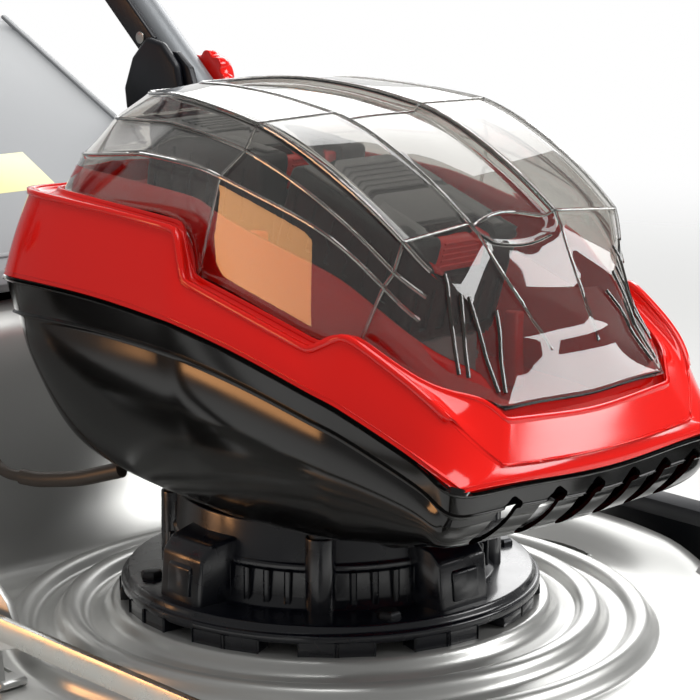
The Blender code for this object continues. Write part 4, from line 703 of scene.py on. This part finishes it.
def turned(profile, centre, axis="Z", sides=64, ease=0.0):
    """Spins an outline of (radius, along) points about an axis through a point in metres."""
    on_axis = profile[0][0] == 0 and profile[-1][0] == 0
    if ease:
        profile = eased(profile, ease, 3, closed=not on_axis)
    shape = bmesh.new()
    spots = [shape.verts.new((out / 1000, 0.0, along / 1000)) for out, along in profile]
    edges = [shape.edges.new(pair) for pair in zip(spots, spots[1:])]
    if not on_axis:
        edges.append(shape.edges.new((spots[-1], spots[0])))
    bmesh.ops.spin(
        shape, geom=spots + edges, axis=(0, 0, 1), cent=(0, 0, 0), angle=2 * math.pi, steps=sides,
        use_merge=True, use_duplicate=False)
    bmesh.ops.remove_doubles(shape, verts=shape.verts, dist=2e-6)
    bmesh.ops.recalc_face_normals(shape, faces=shape.faces)
    turns = {"X": Matrix.Rotation(math.pi / 2, 4, "Y"), "Y": Matrix.Rotation(-math.pi / 2, 4, "X")}
    shape.transform(Matrix.Translation(centre) @ turns.get(axis, Matrix()))
    return shape


def bar(radius, low, high, centre, axis="X", sides=24, ease=0.0, inner=0.0):
    """A round bar from one place along its axis to another; with an inner radius it is a tube."""
    return turned(((inner, low), (radius, low), (radius, high), (inner, high)), centre, axis, sides, ease)


def stand_for(name, shape, coat, sharp=35.0):
    """A finer piece that stands for one CAD node, on its body."""
    return keep("fine_" + name, shape, coat, name, True, sharp)


# Lacquer with aluminium flake over sheet steel: broad, soft reflections with a slight waviness.
silver_lacquer = finish("silver_lacquer", "BDBDBA", 0.32, 0.66, Coat_Weight=0.3, Coat_Roughness=0.16)
grain(silver_lacquer, 26.0, 0.10)
vary(silver_lacquer, 90.0, 0.29, 0.36)

# Rings round the seat as (radius, height) from the outside in; the inside of the pan has plain steps.
PRESSED_RINGS = (
    (187.0, DECK), (180.5, DECK - 0.5), (177.0, PLATFORM - 10.0), (172.0, PLATFORM - 8.5),
    (167.5, PLATFORM - 10.5), (164.0, PLATFORM - 15.5), (158.0, PLATFORM - 14.0),
    (152.5, PLATFORM - 13.0), (149.5, PLATFORM - 5.0), (144.0, PLATFORM - 3.6), (139.0, PLATFORM - 5.0),
    (135.5, PLATFORM - 11.0), (130.0, PLATFORM - 9.0), (124.5, PLATFORM - 7.0), (121.5, PLATFORM - 0.2),
    (117.0, PLATFORM), (90.0, PLATFORM), (BORE, PLATFORM))
PLAIN_STEPS = ((182.0, DECK), (162.0, PLATFORM - 16.0), (126.0, PLATFORM - 12.0), (117.0, PLATFORM - 1.0))
tunnel_side = (
    (-120.0, 90.0), (-130.0, 149.0), (-178.0, 151.0), (-196.0, 176.0), (-222.0, 262.0), (-234.0, 290.0),
    (-250.0, 300.0), (-300.0, 300.0), (-400.0, 232.0), (-425.0, 205.0), (-425.0, 112.0), (-260.0, 60.0))
tunnel_inner = (
    (-100.0, 20.0), (-125.0, 143.0), (-181.0, 147.5), (-198.8, 176.0), (-224.8, 262.0), (-236.0, 287.8),
    (-250.0, 297.5), (-299.0, 297.5), (-398.7, 229.5), (-445.0, 201.0), (-445.0, 20.0))
shape = boolean(pan(0.0, PRESSED_RINGS, True), slab(tunnel_side, (-TUNNEL, TUNNEL), 12.0, 5), "UNION")
shape = boolean(shape, pan(SHEET, PLAIN_STEPS))
shape = boolean(shape, slab(tunnel_inner, (SHEET - TUNNEL, TUNNEL - SHEET), 10.0, 4))
grass_opening = block((-160, 160), (-485, -254), (132, 340))
side_outlet = block((210, 300), (-62, 87), (66, 132), 6.0)
bores = [bar(radius, -reach, reach, place(0, *spot)) for radius, reach, spot in (
    (6.6, 260, FRONT_AXLE), (6.6, 260, REAR_AXLE), (3.6, 240, SKIRT_ROD))]
shape = boolean(shape, joined(grass_opening, side_outlet, *bores))

# Pierced ears carry the rod of the side flap, and two more the rod of the rear flap.
ears = []
for forward in (-80.0, 98.0):
    outline = [
        place(x, forward, z) for x, z in ((190, 152), (230, 190), (242, 190), (244, 168), (232, 110))]
    ears.append(rows_skin([outline, [spot - Vector((0, 0.007, 0)) for spot in outline]]))
for side in (-1, 1):
    outline = ((-251, 282), (-255, 318), (-244, 321), (-238, 315), (-235, 284))
    ears.append(slab(outline, sorted((side * 146.5, side * 153)), 1.0))
stand_for("deck_shell", joined(shape, *ears), silver_lacquer, sharp=28.0)


# Small steel hardware on the deck
# Pan-head bolts on washers hold the axle clamps and the handle brackets, and a rolled hem stiffens the
# skirt's lower edge in front. The bolts are zinc plated.
hem_line = deck_ring(40.0, CHAMBER, HALF_WIDTH, NOSE)
hem_line = [hem_line[k % SIDES] for k in range(-52, 53)]
detail("rolled_hem", pipe(hem_line, 2.6, 12), silver_lacquer, "deck_shell")

# Bright zinc on drawn or turned steel: drawing lines run across the mower, along its rods.
zinc = finish("zinc_plated_steel", "B9B9B4", 0.28, 1.0)
grain(zinc, 0.8, 0.02, stretch=(0.15, 1, 1))
vary(zinc, 12.0, 0.22, 0.36)
bolt_head = ((0, -2), (7.5, -2), (7.5, 0.4), (6.2, 3.2), (3.0, 4.4), (0, 4.5))
bolts = []
for x, forward, height in (
        (-150, 236, 151.5), (150, 236, 151.5), (-60, 262, 149.5), (60, 262, 149.5), (-170, -168, 151.5),
        (170, -168, 151.5)):
    spot = place(x, forward, height)
    bolts += [turned(bolt_head, spot, sides=32, ease=0.6), bar(11.0, -1, 0.6, spot, "Z", 32, 0.3)]
detail("deck_bolts", joined(*bolts), zinc, "deck_shell")


# Side discharge flap
# Black glass-filled nylon, moulded with nine ribs. It is sprung shut over the outlet on the mower's
# right, and turns on a bright steel rod between two ears of the deck.
def refine(name, coat, edge=0.0, segments=2, angle=30.0, sharp=35.0):
    """Stands a copy of a CAD node's mesh for it, with its flats merged and its edges rounded."""
    shape = bmesh.new()
    shape.from_mesh(frame["nodes"][name].data)
    bmesh.ops.remove_doubles(shape, verts=shape.verts, dist=1e-5)
    bmesh.ops.dissolve_limit(
        shape, angle_limit=math.radians(2.0), use_dissolve_boundaries=False, verts=shape.verts,
        edges=shape.edges)
    return stand_for(name, round_edges(shape, edge, segments, angle), coat, sharp)


refine("side_flap", satin_nylon, 0.8)
rib_outline = ((247, 178), (259, 128), (265, 74), (262, 74), (255, 126), (244, 178))
ribs = []
for k in range(9):
    forward = -58.0 + 17.5 * k
    ribs.append(rows_skin([[place(x, forward + wide, z) for x, z in rib_outline] for wide in (0.0, 3.0)]))
detail("side_flap_ribs", joined(*ribs), satin_nylon, "side_flap")
stand_for("side_flap_rod", bar(3, -98, 98, place(236, 12.5, 180), "Y", 24, 0.8), zinc)


# Motor flange
# Die-cast aluminium under satin black paint: a notched rim on the deck, a drum with four clamp blocks,
# four screw posts, and a ring of small ribs.
def around(share):
    """A turn about the blade's axis by a share of a full circle."""
    return Matrix.Translation(place(0, 0, 0)) @ Matrix.Rotation(2 * math.pi * share, 4, "Z")


def wedge(outline, edge, segments, turn):
    """A block between an outline of (out, half width, height) points and its mirror image, turned."""
    rows = [[Vector((out, side * half, height)) / 1000 for out, half, height in outline] for side in (-1, 1)]
    shape = round_edges(rows_skin(rows), edge, segments)
    shape.transform(turn)
    return shape


POST_RING = 0.086
profile = (
    (78, 175), (104, 175), (116, 175), (116, 179.5), (113.4, 180.2), (112.2, 184), (104, 184.4),
    (91, 185.0), (87, 190), (85.6, 204), (86.8, 205), (86.8, 208), (85.2, 209), (84, 229), (20, 230),
    (20, 226), (78, 226))
clamp = ((76, 20, 180), (107, 17, 180), (104.5, 17, 209), (98, 17, 216), (76, 20, 220))
clamp_face = ((105.4, 9, 188), (107.6, 9, 188), (106.6, 9, 203), (104.4, 9, 205))
post = ((0, 180), (8.4, 180), (8.0, 224), (0, 224))
parts = [turned(profile, place(0, 0, 0), sides=144, ease=1.2)]
for k in range(36):
    if k % 3:
        move = around((k + 0.5) / 36) @ Matrix.Translation((0.110, 0, 0.1722))
        parts.append(box((0.012, 0.0185, 0.0062), move, 0.8, 2))
for k in range(48):
    move = around((k + 0.5) / 48) @ Matrix.Translation((0.0865, 0, 0.196))
    parts.append(box((0.005, 0.0022, 0.016), move, 0.6, 1))
for k in range(4):
    parts += [wedge(clamp, 2.2, 3, around(k / 4)), wedge(clamp_face, 0.8, 2, around(k / 4))]
    post_spot = around((k + 0.5) / 4) @ Vector((POST_RING, 0, 0))
    parts.append(turned(post, post_spot, sides=40, ease=1.0))

# Paint on a casting: smoother than the nylon, with a soft clear highlight along its edges.
flange_paint = finish("satin_black_paint", "090B13", 0.24, Coat_Weight=0.5, Coat_Roughness=0.14)
grain(flange_paint, 1.2, 0.02)
vary(flange_paint, 30.0, 0.20, 0.32)
stand_for("motor_flange", joined(*parts), flange_paint, sharp=32.0)

# Phosphated steel: dark grey and only faintly shiny.
dark_steel = finish("phosphated_steel", "3A3B3D", 0.42, 0.9)
vary(dark_steel, 14.0, 0.34, 0.50)
socket_head = ((0, 223), (6.2, 223), (6.2, 227), (3.2, 227), (3.0, 224.5), (0, 224.5))
hex_head = ((0, 183), (6.5, 183), (6.5, 186.5), (5.0, 188), (0, 188.2))
screws = []
for k in range(4):
    turn = around((k + 0.5) / 4)
    rim_spot = turn @ Matrix.Rotation(0.36, 4, "Z") @ Vector((0.1015, 0, 0))
    screws.append(turned(socket_head, turn @ Vector((POST_RING, 0, 0)), sides=32, ease=0.5))
    screws.append(turned(hex_head, rim_spot, sides=6, ease=0.5))
detail("flange_screws", joined(*screws), dark_steel, "motor_flange")


# Motor, shaft and blade
# The can is phosphated steel, the shaft and the blade are ground steel, and a grey nylon adapter with
# ten fins drives the blade.
shaft_line = place(0, 0, 0)
can = ((8.3, 171), (64, 171), (70, 177), (70, 218), (62, 225.7), (8.3, 225.7))
hub = ((8.3, 50.3), (34, 50.3), (34, 57.3), (22, 64.3), (19, 98.3), (8.3, 98.3))
bolt = ((0, 35), (10, 35), (11, 37), (11, 43), (20, 43), (20, 46.7), (6, 46.7), (6, 62), (0, 62))

# Moulded polypropylene with a fine grain: a dull mid grey.
grey_pp = finish("grey_polypropylene", "8D8F91", 0.45)
grain(grey_pp, 1.0, 0.03)
stand_for("motor_can", turned(can, shaft_line, sides=96, ease=2.0), dark_steel)
stand_for("rotor_shaft", bar(8, 62.3, 222, shaft_line, "Z", 48, 0.8), zinc)
stand_for("blade_adapter", turned(hub, shaft_line, sides=72, ease=1.2), grey_pp)
refine("blade", zinc, 0.35, 2, 24.0)
stand_for("blade_bolt", turned(bolt, shaft_line, sides=48, ease=0.5), dark_steel)
fins = [box((0.014, 0.0022, 0.012), around(k / 10) @ Matrix.Translation((0.0255, 0, 0.0605)), 0.5, 1)
        for k in range(10)]
detail("adapter_fins", joined(*fins), grey_pp, "blade_adapter")


# Battery tray, dock and controller
# The tray is the red well under the lid. Its wall stands inside the lid and runs on straight where the
# cover steps down. The packs slide down onto a grey dock with contact rails.
WALL_TOP = [12.0] * 6 + [32.0, 31.0, 31.0, 15.0, 12.0, 9.0, 6.0, 5.0, 5.0]
wall_rows = (drawn_in(LIP, 6.5, 9.0), drawn_in(LIP, 7.5), lifted(drawn_in(LIP, 9.5), WALL_TOP))
keep("well_wall", skin(wall_rows, {2: 0.8}), red_abs, "battery_tray", False, levels=2, wall=2.2)
refine("battery_tray", red_abs, sharp=40.0)
refine("battery_dock", grey_pp)
refine("controller_box", satin_nylon, 1.2)
stand_for("lid_pin", bar(2.5, -42, 42, place(0, -151, RIM + 206), ease=0.5), zinc)
guides = []
for forward, top in ((28, 176), (-6, 190), (96, 150), (-100, 188)):
    for x in (-44, 44):
        guides.append(
            block((x - 3.2, x + 3.2), (forward - 5, forward + 5), (RIM + 108, RIM + top), 1.6))
detail("tray_guides", joined(*guides), red_abs, "battery_tray", 40.0)


# Battery packs
# Satin black ABS shells with grey top plates, ribs moulded in steps, slots in front, rails at the sides
# and a red release latch that a spring holds out.
def tilted(shape, forward, height, tilt):
    """A shape made round the origin of the mower's places, moved into a pack's own frame."""
    here = place(0, forward, RIM + height)
    lean = Matrix.Rotation(math.radians(tilt), 4, "X")
    shape.transform(Matrix.Translation(here) @ lean @ Matrix.Translation(-place(0, 0, 0)))
    return shape


# Grained nylon plates, a shade paler than the shell.
pack_grey = finish("mid_grey_nylon", "747577", 0.40)
grain(pack_grey, 0.9, 0.03)
for name, *seat in (("battery_rear", -60.0, 233.0, 6.0), ("battery_front", 59.0, 211.0, 18.0)):
    body = block((-38, 38), (-49, 49), (-60, 0), 4.0, 4)
    holes = [block((side * 34.5 - 4, side * 34.5 + 4), (-51, 37), (-51, -45)) for side in (-1, 1)]
    holes.append(block((-19, 19), (33, 51), (-22, 2), 1.0, 2))
    holes += [block((-31 + 11.5 * k, -25.5 + 11.5 * k), (47.6, 52), (-52, -28), 0.8, 2) for k in range(6)]
    holes += [block((flank - 1.2, flank + 1.2), (-40 + 15 * k, -36 + 15 * k), (-38, -10), 0.5, 1)
              for k in range(6) for flank in (-38, 38)]
    stand_for(name, tilted(boolean(body, joined(*holes)), *seat), satin_nylon, sharp=30.0)
    trims = [
        block((-34, 34), (-44, -8), (-0.6, 1.3), 0.6, 2), block((-29, -21), (6, 44), (-0.6, 1.3), 0.5, 2),
        block((21, 29), (6, 44), (-0.6, 1.3), 0.5, 2), block((-34, 34), (-3, 30), (-0.6, 1.0), 0.5, 2)]
    trims += [block((-24, 24), (-36 + 5.5 * k, -33.6 + 5.5 * k), (1.0, 2.1), 0.4, 1) for k in range(5)]
    detail(name + "_plates", tilted(joined(*trims), *seat), pack_grey, name)
    latch = [block((-18.4, 18.4), (37.2, 45.8), (-21.6, -3.6), 1.8, 3)]
    for k in range(5):
        low = -18.5 + 3.2 * k
        latch.append(block((-13, 13), (45.2, 46.4), (low, low + 1.5), 0.4, 1))
    stand_for(name + "_button", tilted(joined(*latch), *seat), red_abs)


# Safety key
# Red nylon, moulded in one: a round plug with a collar, and a ring to pull it by. It stands in a socket
# at the back of the tray.
key_line = place(17, -127, RIM)
plug = bar(6, 186.3, 217, key_line, "Z", 40, 0.8)
bow = bar(9, -2, 2, place(17, -127, RIM + 219), "Y", 48, 1.2, inner=4.5)
ring_shape = bar(7.4, 207, 209, key_line, "Z", 40, 0.5)
stand_for("safety_key", joined(plug, bow, ring_shape), red_abs)


# Wheels
# Black rubber tyres with a block tread on grey five-spoke rims, held on by red snap caps.
# Each spoke has a brace on its outer face, and each hole between the spokes has a raised lip.
def drift(coat, base, other, size):
    """Lets the base colour drift between two near shades over patches of that size in millimetres."""
    tree = coat.node_tree
    coords = tree.nodes["Texture Coordinate"].outputs["Object"]
    noise = add(tree, "TexNoise", _0=coords, Scale=1000 / size, Detail=4.0)
    spread = add(tree, "MapRange", Value=noise.outputs[0], From_Min=0.35, From_Max=0.65)
    mix = add(
        tree, "Mix", {"data_type": "RGBA"}, _0=spread.outputs["Result"], _6=colour(base), _7=colour(other))
    tree.links.new(mix.outputs[2], tree.nodes["Principled BSDF"].inputs["Base Color"])


def beside(side, *outline):
    """An outline of (radius, along) points for the left or the right side."""
    return [(radius, side * along) for radius, along in outline]


def round_from(centre, share, reach):
    """A place that far in millimetres from a centre, at a share of a turn in the wheel's plane."""
    turn = 2 * math.pi * share
    return centre + Vector((0, math.cos(turn), math.sin(turn))) * reach / 1000


# Moulded rubber: dull, with a fine grain, and browner in places.
rubber = finish("moulded_rubber", "17171A", 0.75)
grain(rubber, 1.4, 0.08)
drift(rubber, "17171A", "232322", 45.0)
TREAD = ((-12.5, 0.0, 18), (0.0, 0.5, 0), (12.5, 0.0, -18))
for end, forward, radius, lug_count in (("front", 275.0, 95.0, 30), ("rear", -350.0, 140.0, 42)):
    bed = radius * 0.74
    seat = bed - 0.3
    lug_size = (0.0098, 2 * math.pi * (radius - 2) / lug_count * 0.62 / 1000, 0.0042)
    flank = (
        (bed, -16), (bed + 3, -18.5), (radius - 12, -20.4), (radius - 7, -20), (radius - 3.4, -17),
        (radius - 3, -12))
    hole, hole_ring, spoke = (seat - 40) / 3.2, (seat + 22) / 2, seat - 32
    for side, hand in ((-1, "left"), (1, "right")):
        name = end + "_" + hand
        centre = place(side * 239, forward, radius)
        tyre = [turned(flank + tuple((r, -z) for r, z in flank[::-1]), centre, "X", 96, 1.0)]
        for k in range(lug_count):
            for x, shift, skew in TREAD:
                move = (Matrix.Translation(centre)
                        @ Matrix.Rotation(2 * math.pi * (k + shift) / lug_count, 4, "X")
                        @ Matrix.Translation((x / 1000, 0, (radius - 2.2) / 1000))
                        @ Matrix.Rotation(math.radians(skew), 4, "Z"))
                tyre.append(box(lug_size, move, 0.5, 1))
        stand_for(name + "_tyre", joined(*tyre), rubber)
        dish = beside(
            side, (6.3, -19), (17, -19), (20, -4), (seat - 6, -4), (seat - 3, -15), (seat, -15),
            (seat, 15), (seat - 3, 15), (seat - 10, 3), (24, 4), (21, 15), (6.3, 15))
        holes, spokes = [], []
        for k in range(5):
            spot = round_from(centre, (k + 0.5) / 5, hole_ring)
            holes.append(bar(hole, -25, 25, spot, "X", 28))
            spokes.append(
                bar(hole + 2.2, side * 2.2, side * 5.2, spot, "X", 28, 0.5, inner=hole + 0.2))
            move = (Matrix.Translation(centre) @ Matrix.Rotation(2 * math.pi * k / 5, 4, "X")
                    @ Matrix.Translation((side * 0.0045, (22 + spoke / 2) / 1000, 0)))
            spokes.append(box((0.004, spoke / 1000, 0.006), move, 1.0, 2))
        rim = boolean(turned(dish, centre, "X", 80, 0.8), joined(*holes))
        stand_for(name + "_rim", joined(rim, *spokes), grey_pp)
        dome = beside(side, (0, 15.3), (19, 15.3), (18, 20), (12, 22.5), (0, 23.5))
        ring = beside(side, (12.6, 21.2), (14.4, 21.2), (14.4, 22.4), (12.6, 22.9))
        cap = joined(turned(dome, centre, "X", 64, 1.0), turned(ring, centre, "X", 64, 0.3))
        stand_for(name + "_hub_cap", cap, red_abs)


# Axles and height adjustment
# Zinc-plated rod, flat cranks and a tie bar. A dark lever with a red knob turns them over a silver
# quadrant, in whose notches it rests.
for name in ("front_axle", "rear_axle", "tie_rod"):
    refine(name, zinc, 0.5, 2, 40.0)
refine("height_lever", dark_steel, 0.5, 2, 40.0)
refine("height_quadrant", silver_lacquer, 0.4, 2, 40.0)
knob_outline = ((0, 14), (7, 12.5), (12, 7), (13.5, 0), (12, -10), (8, -22), (0, -23))
knob = turned(knob_outline, place(-205.5, -123, 334), ease=2.5)
stand_for("lever_knob", boolean(knob, block((-208.3, -202.7), (-131, -112), (300, 326))), red_abs)


# Rear flap
# Ribbed grey polypropylene, held up by the grass box, turning on a steel rod in two ears of the deck.
# A raised border frames its top, with a bare label place inside.
FLAP_HINGE = (-247.0, 313.0)
FLAP_SLOPE = math.radians(24.9)


def along_slope(x, start, slope, distance, above):
    """A place that far up a slope that leans back, and above it, from a (forward, height) start."""
    return place(
        x, start[0] - distance * math.cos(slope) + above * math.sin(slope),
        start[1] + distance * math.sin(slope) + above * math.cos(slope))


def flap_bar(x, distance, above, edge):
    """A bar that lies on the rear flap between pairs of limits."""
    corners = ((0, 0), (1, 0), (1, 1), (0, 1))
    ends = [[along_slope(x[i], FLAP_HINGE, FLAP_SLOPE, distance[j], above[k]) for i, j in corners]
            for k in (0, 1)]
    return round_edges(rows_skin(ends), edge, 2)


refine("rear_flap", grey_pp, 0.8)
stand_for("rear_flap_rod", bar(3, -159, 159, place(0, *FLAP_HINGE), ease=0.6), zinc)
ribs = [flap_bar((x - 1.2, x + 1.2), (20, 262), (-3.5, 3.6), 0.5) for x in (-96, -48, 0, 48, 96)]
ribs += [flap_bar((-139, 139), (up - 1.2, up + 1.2), (-3.0, 3.6), 0.5) for up in (70, 140, 210)]
ribs += [flap_bar(*limits, 1.0) for limits in (
    ((-132, 132), (296, 300), (3.4, 5.4)), ((-142, -138), (14, 300), (6.0, 9.0)),
    ((138, 142), (14, 300), (6.0, 9.0)), ((-142, 142), (12, 16), (6.2, 9.0)))]
detail("rear_flap_ribs", joined(*ribs), grey_pp, "rear_flap")

# Pale yellow film, left blank.
label = finish("blank_yellow_label", "E9DFA6", 0.35)
detail("blank_flap_label", flap_bar((-30, 45), (80, 124), (6.9, 7.5), 0.2), label, "rear_flap")


# Grass box
# A black polypropylene bin in two welded halves, with a seam, side ribs, rows of air slots and a red
# carrying arch.
refine("grass_box", satin_nylon, 2.0, 3, 20.0, sharp=25.0)
refine("grass_box_handle", red_abs, 1.6, 3)


def bin_half_width(forward):
    """Half the bin's width, which tapers in from its widest part to the tunnel."""
    return 157.0 + (forward + 500.0) * (-19.0 / 60.0) if forward > -560 else 176.0 + (-560 - forward) * 0.04


ribs = []
for side in (-1, 1):
    for k in range(9):
        forward = -500.0 - 20.0 * k
        wide = bin_half_width(forward)
        limits = sorted((side * (wide - 2), side * (wide + 2.6)))
        ribs.append(block(limits, (forward - 5, forward + 5), (190, 360), 1.6))
ribs += [block((-60, 60), (-728.1, -718), (200 + 22 * k, 208 + 22 * k), 2.4) for k in range(7)]
detail("grass_box_ribs", joined(*ribs), satin_nylon, "grass_box")

# The slots' depth is painted shade: near-black blocks stand in the openings, where the inside lies in shade.
painted_gap_shade = finish("painted_gap_shade_black", "050505", 0.9)
slots = []
for row in range(3):
    for k in range(12):
        x, forward = -118 + 20 * k, -592 + 18 * row
        slots.append(block((x, x + 14), (forward, forward + 5), (434.5, 438.2), 1.2, 2))
detail("grass_box_slots", joined(*slots), painted_gap_shade, "grass_box")


# Trailing skirt
# A strip of black rubber, moulded with a thick edge round the rod that it hangs from. It closes the
# deck behind the blade and drags over the grass.
refine("trailing_skirt", rubber, 0.6, 2, 40.0)


# Handle
# Powder-coated steel tube in two parts: the lower one turns on black brackets under red domed knobs, the
# upper one folds at red quick-release cams. A flat bar is screwed along each lower tube.
RISE = math.radians(39.7)
PIVOT = (-358.0, 409.0)
TUBE = 12.5
LOWER_X, UPPER_X = 189, 162


def on_handle(distance, x=0.0, above=0.0):
    """A place along the handle's line, measured from its pivot on the deck."""
    return along_slope(x, PIVOT, RISE, distance, above)


def leaning(distance, x=0.0, above=0.0):
    """A move to a place on the handle, with the handle's slope."""
    return Matrix.Translation(on_handle(distance, x, above)) @ Matrix.Rotation(RISE, 4, "X")


# Powder coat over steel: an even sheen with a slight orange-peel texture.
tube_coat = finish("grey_powder_coat", "7E8184", 0.36, 0.35)
grain(tube_coat, 1.1, 0.02)
cheek_outline = (
    (-338, 396), (-344, 422), (-360, 436), (-378, 439), (-394, 424), (-404, 402), (-402, 388),
    (-390, 372), (-362, 374))
for side, hand in ((-1, "left"), (1, "right")):
    refine("handle_bracket_" + hand, satin_nylon, 0.9, 3, 25.0)
    cheek = slab(cheek_outline, sorted((side * 163.4, side * 170.3)), 4.0)
    detail("bracket_cheek_" + hand, cheek, satin_nylon, "handle_bracket_" + hand)
    strap = box((0.0048, 0.168, 0.019), Matrix(), 1.6)
    strap.transform(leaning(118, side * 173.6))
    detail("handle_bar_" + hand, strap, satin_nylon, "lower_handle")
    screw = bar(4.4, side * 169.6, side * 171.4, on_handle(44), ease=0.4)
    detail("bar_screw_" + hand, screw, zinc, "lower_handle")
lower = [
    pipe([on_handle(-20, side * LOWER_X), on_handle(462, side * LOWER_X)], TUBE, 48) for side in (-1, 1)]
lower.append(pipe([on_handle(205, -LOWER_X), on_handle(205, LOWER_X)], 8.0, 32))
for side in (-1, 1):
    for low, high in ((-20.5, -14), (455, 462.5)):
        lower.append(
            pipe([on_handle(low, side * LOWER_X), on_handle(high, side * LOWER_X)], TUBE + 0.4, 48))
stand_for("lower_handle", joined(*lower), tube_coat, sharp=40.0)
route = eased(
    [on_handle(418, -UPPER_X), on_handle(894, -UPPER_X), on_handle(920, -136), on_handle(920, 136),
     on_handle(894, UPPER_X), on_handle(418, UPPER_X)], 0.030, 12, closed=False)
stand_for("upper_handle", pipe(route, TUBE, 48), tube_coat, sharp=40.0)
for side, hand in ((-1, "left"), (1, "right")):
    spot = on_handle(0)
    dome = beside(
        side, (0, 165.5), (6.5, 165.5), (6.5, 170.2), (4, 170.2), (4, 201.8), (17, 201.8), (18, 207.5),
        (15.5, 214.5), (9, 219.5), (0, 221))
    lobe = beside(side, (0, 201.9), (5.6, 201.9), (5.6, 207.5), (3.4, 212), (0, 212.6))
    knob = [turned(dome, spot, "X", 64, 1.4)]
    knob += [turned(lobe, round_from(spot, k / 8, 14.2), "X", 24, 0.8) for k in range(8)]
    stand_for("pivot_knob_" + hand, joined(*knob), red_abs)
    refine("cam_lever_" + hand, red_abs, 1.0, 3, 32.0)


# Controls
# A foam sleeve on the crossbar, a bent wire bail behind it in two holders, and a two-part switch box
# with a red button. All are on the upper tube.
CROSSBAR, BAIL_END, BUTTON = 920, 856, 814

# Closed-cell foam: dull, with open pores and fine turned grooves.
foam = finish("closed_cell_foam", "161616", 0.9)
grain(foam, 1.6, 0.25)
grooves = [(15.9 if k % 2 else 15.2, -95.0 + 190.0 * k / 62) for k in range(63)]
stand_for("grip", turned([(13.1, -96), *grooves, (13.1, 96)], on_handle(CROSSBAR), "X", 72), foam)
refine("switch_box", satin_nylon, 2.2, 3, 25.0)
screws = [bar(3.2, -184, -181.6, on_handle(CROSSBAR - back, 0, above), ease=0.4)
          for back, above in ((142, 12), (142, -12), (84, 14), (84, -12))]
detail("switch_box_screws", joined(*screws), zinc, "switch_box")
button_outline = ((0, 0.5), (8, 0.5), (8, 11), (6.5, 12.5), (0, 12.0))
# A near-black ring round the button is painted shade, the shadow in the gap between the button and the
# switch box.
gap_ring_outline = ((8.6, 6.5), (11.6, 6.5), (11.0, 8.2), (8.6, 8.2))
button = turned(button_outline, Vector(), sides=48, ease=0.7)
ring_shape = turned(gap_ring_outline, Vector(), sides=48, ease=0.4)
for part in (button, ring_shape):
    part.transform(leaning(BUTTON, -160, 16))
stand_for("start_button", button, red_abs)
detail("button_gap_shade", ring_shape, painted_gap_shade, "switch_box")
SPAN = UPPER_X - TUBE - 8
half_bail = ((BAIL_END, SPAN + 15, 0), (BAIL_END, SPAN, 0), (886, SPAN, 34), (928, SPAN - 34, 50))
route = [on_handle(up, -x, above) for up, x, above in half_bail]
route += [on_handle(up, x, above) for up, x, above in half_bail[::-1]]
stand_for("bail", pipe(eased(route, 0.010, 6, closed=False), 3.5, 24), zinc, sharp=50.0)
holders = [
    turned(beside(side, (4.2, 149), (7.5, 149), (8.5, 152), (8.5, 158), (4.2, 158)),
           on_handle(BAIL_END), "X", 40, 0.6) for side in (-1, 1)]
detail("bail_holders", joined(*holders), satin_nylon, "upper_handle")


# Control cable
# Brown-grey PVC over a wire pair. It leaves the hood at the left in a thicker sleeve, rises past the flap,
# and meets the next run on each hinge's axis, so that the handle can fold. Rubber bands hold it.
PIVOT_X, JOINT_X = -156.0, -135.0
LOWER_RUN, UPPER_RUN, ABOVE = -178, -151, -11.6
CABLE, SLEEVE = 3.2, 4.6
runs = {
    "control_cable": [
        place(-70, -98, 229), place(-78, -128, 219), place(-84, -160, 213), place(-92, -190, 213),
        place(-100, -212, 276), place(-132, -222, 307), place(-160, -240, 330), place(-162, -292, 365),
        place(-162, -340, 400), place(-162, -358, 409), place(PIVOT_X - 0.15, -358, 409)],
    "cable_lower": [
        on_handle(0, PIVOT_X + 0.15), on_handle(0, -150), on_handle(26, -150),
        on_handle(72, LOWER_RUN, ABOVE), on_handle(366, LOWER_RUN, ABOVE), on_handle(406, -139),
        on_handle(440, -139), on_handle(440, JOINT_X - 0.15)],
    "cable_upper": [
        on_handle(440, JOINT_X + 0.15), on_handle(440, -130), on_handle(466, -130),
        on_handle(512, UPPER_RUN, ABOVE), on_handle(767.5, UPPER_RUN, ABOVE)],
}
# Soft PVC: a low sheen, brownish where it shows by the hood.
cable_pvc = finish("brown_grey_pvc", "4A4038", 0.42)
for name, route in runs.items():
    cable = pipe(eased(route, 0.012, 8, closed=False), CABLE, 20)
    stand_for(name, cable, cable_pvc, sharp=50.0)
route = eased(runs["control_cable"][:3] + [place(-87.2, -172.0, 213)], 0.012, 8, closed=False)
detail("cable_sleeve", pipe(route, SLEEVE, 24), cable_pvc, "control_cable", 50.0)
for part, distances, x, tube_x in (
        ("lower", (110, 210, 310), LOWER_RUN, -LOWER_X), ("upper", (560, 660, 750), UPPER_RUN, -UPPER_X)):
    ties = []
    for distance in distances:
        band = bar(TUBE + 1.1, -2.2, 2.2, Vector(), "Y", 40, 0.3, inner=TUBE + 0.1)
        band.transform(leaning(distance, tube_x))
        clip = bar(CABLE + 1.2, -2.2, 2.2, Vector(), "Y", 28, 0.3, inner=CABLE + 0.1)
        clip.transform(leaning(distance, x, ABOVE))
        ties += [band, clip]
    detail(part + "_cable_ties", joined(*ties), rubber, part + "_handle")


low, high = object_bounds()
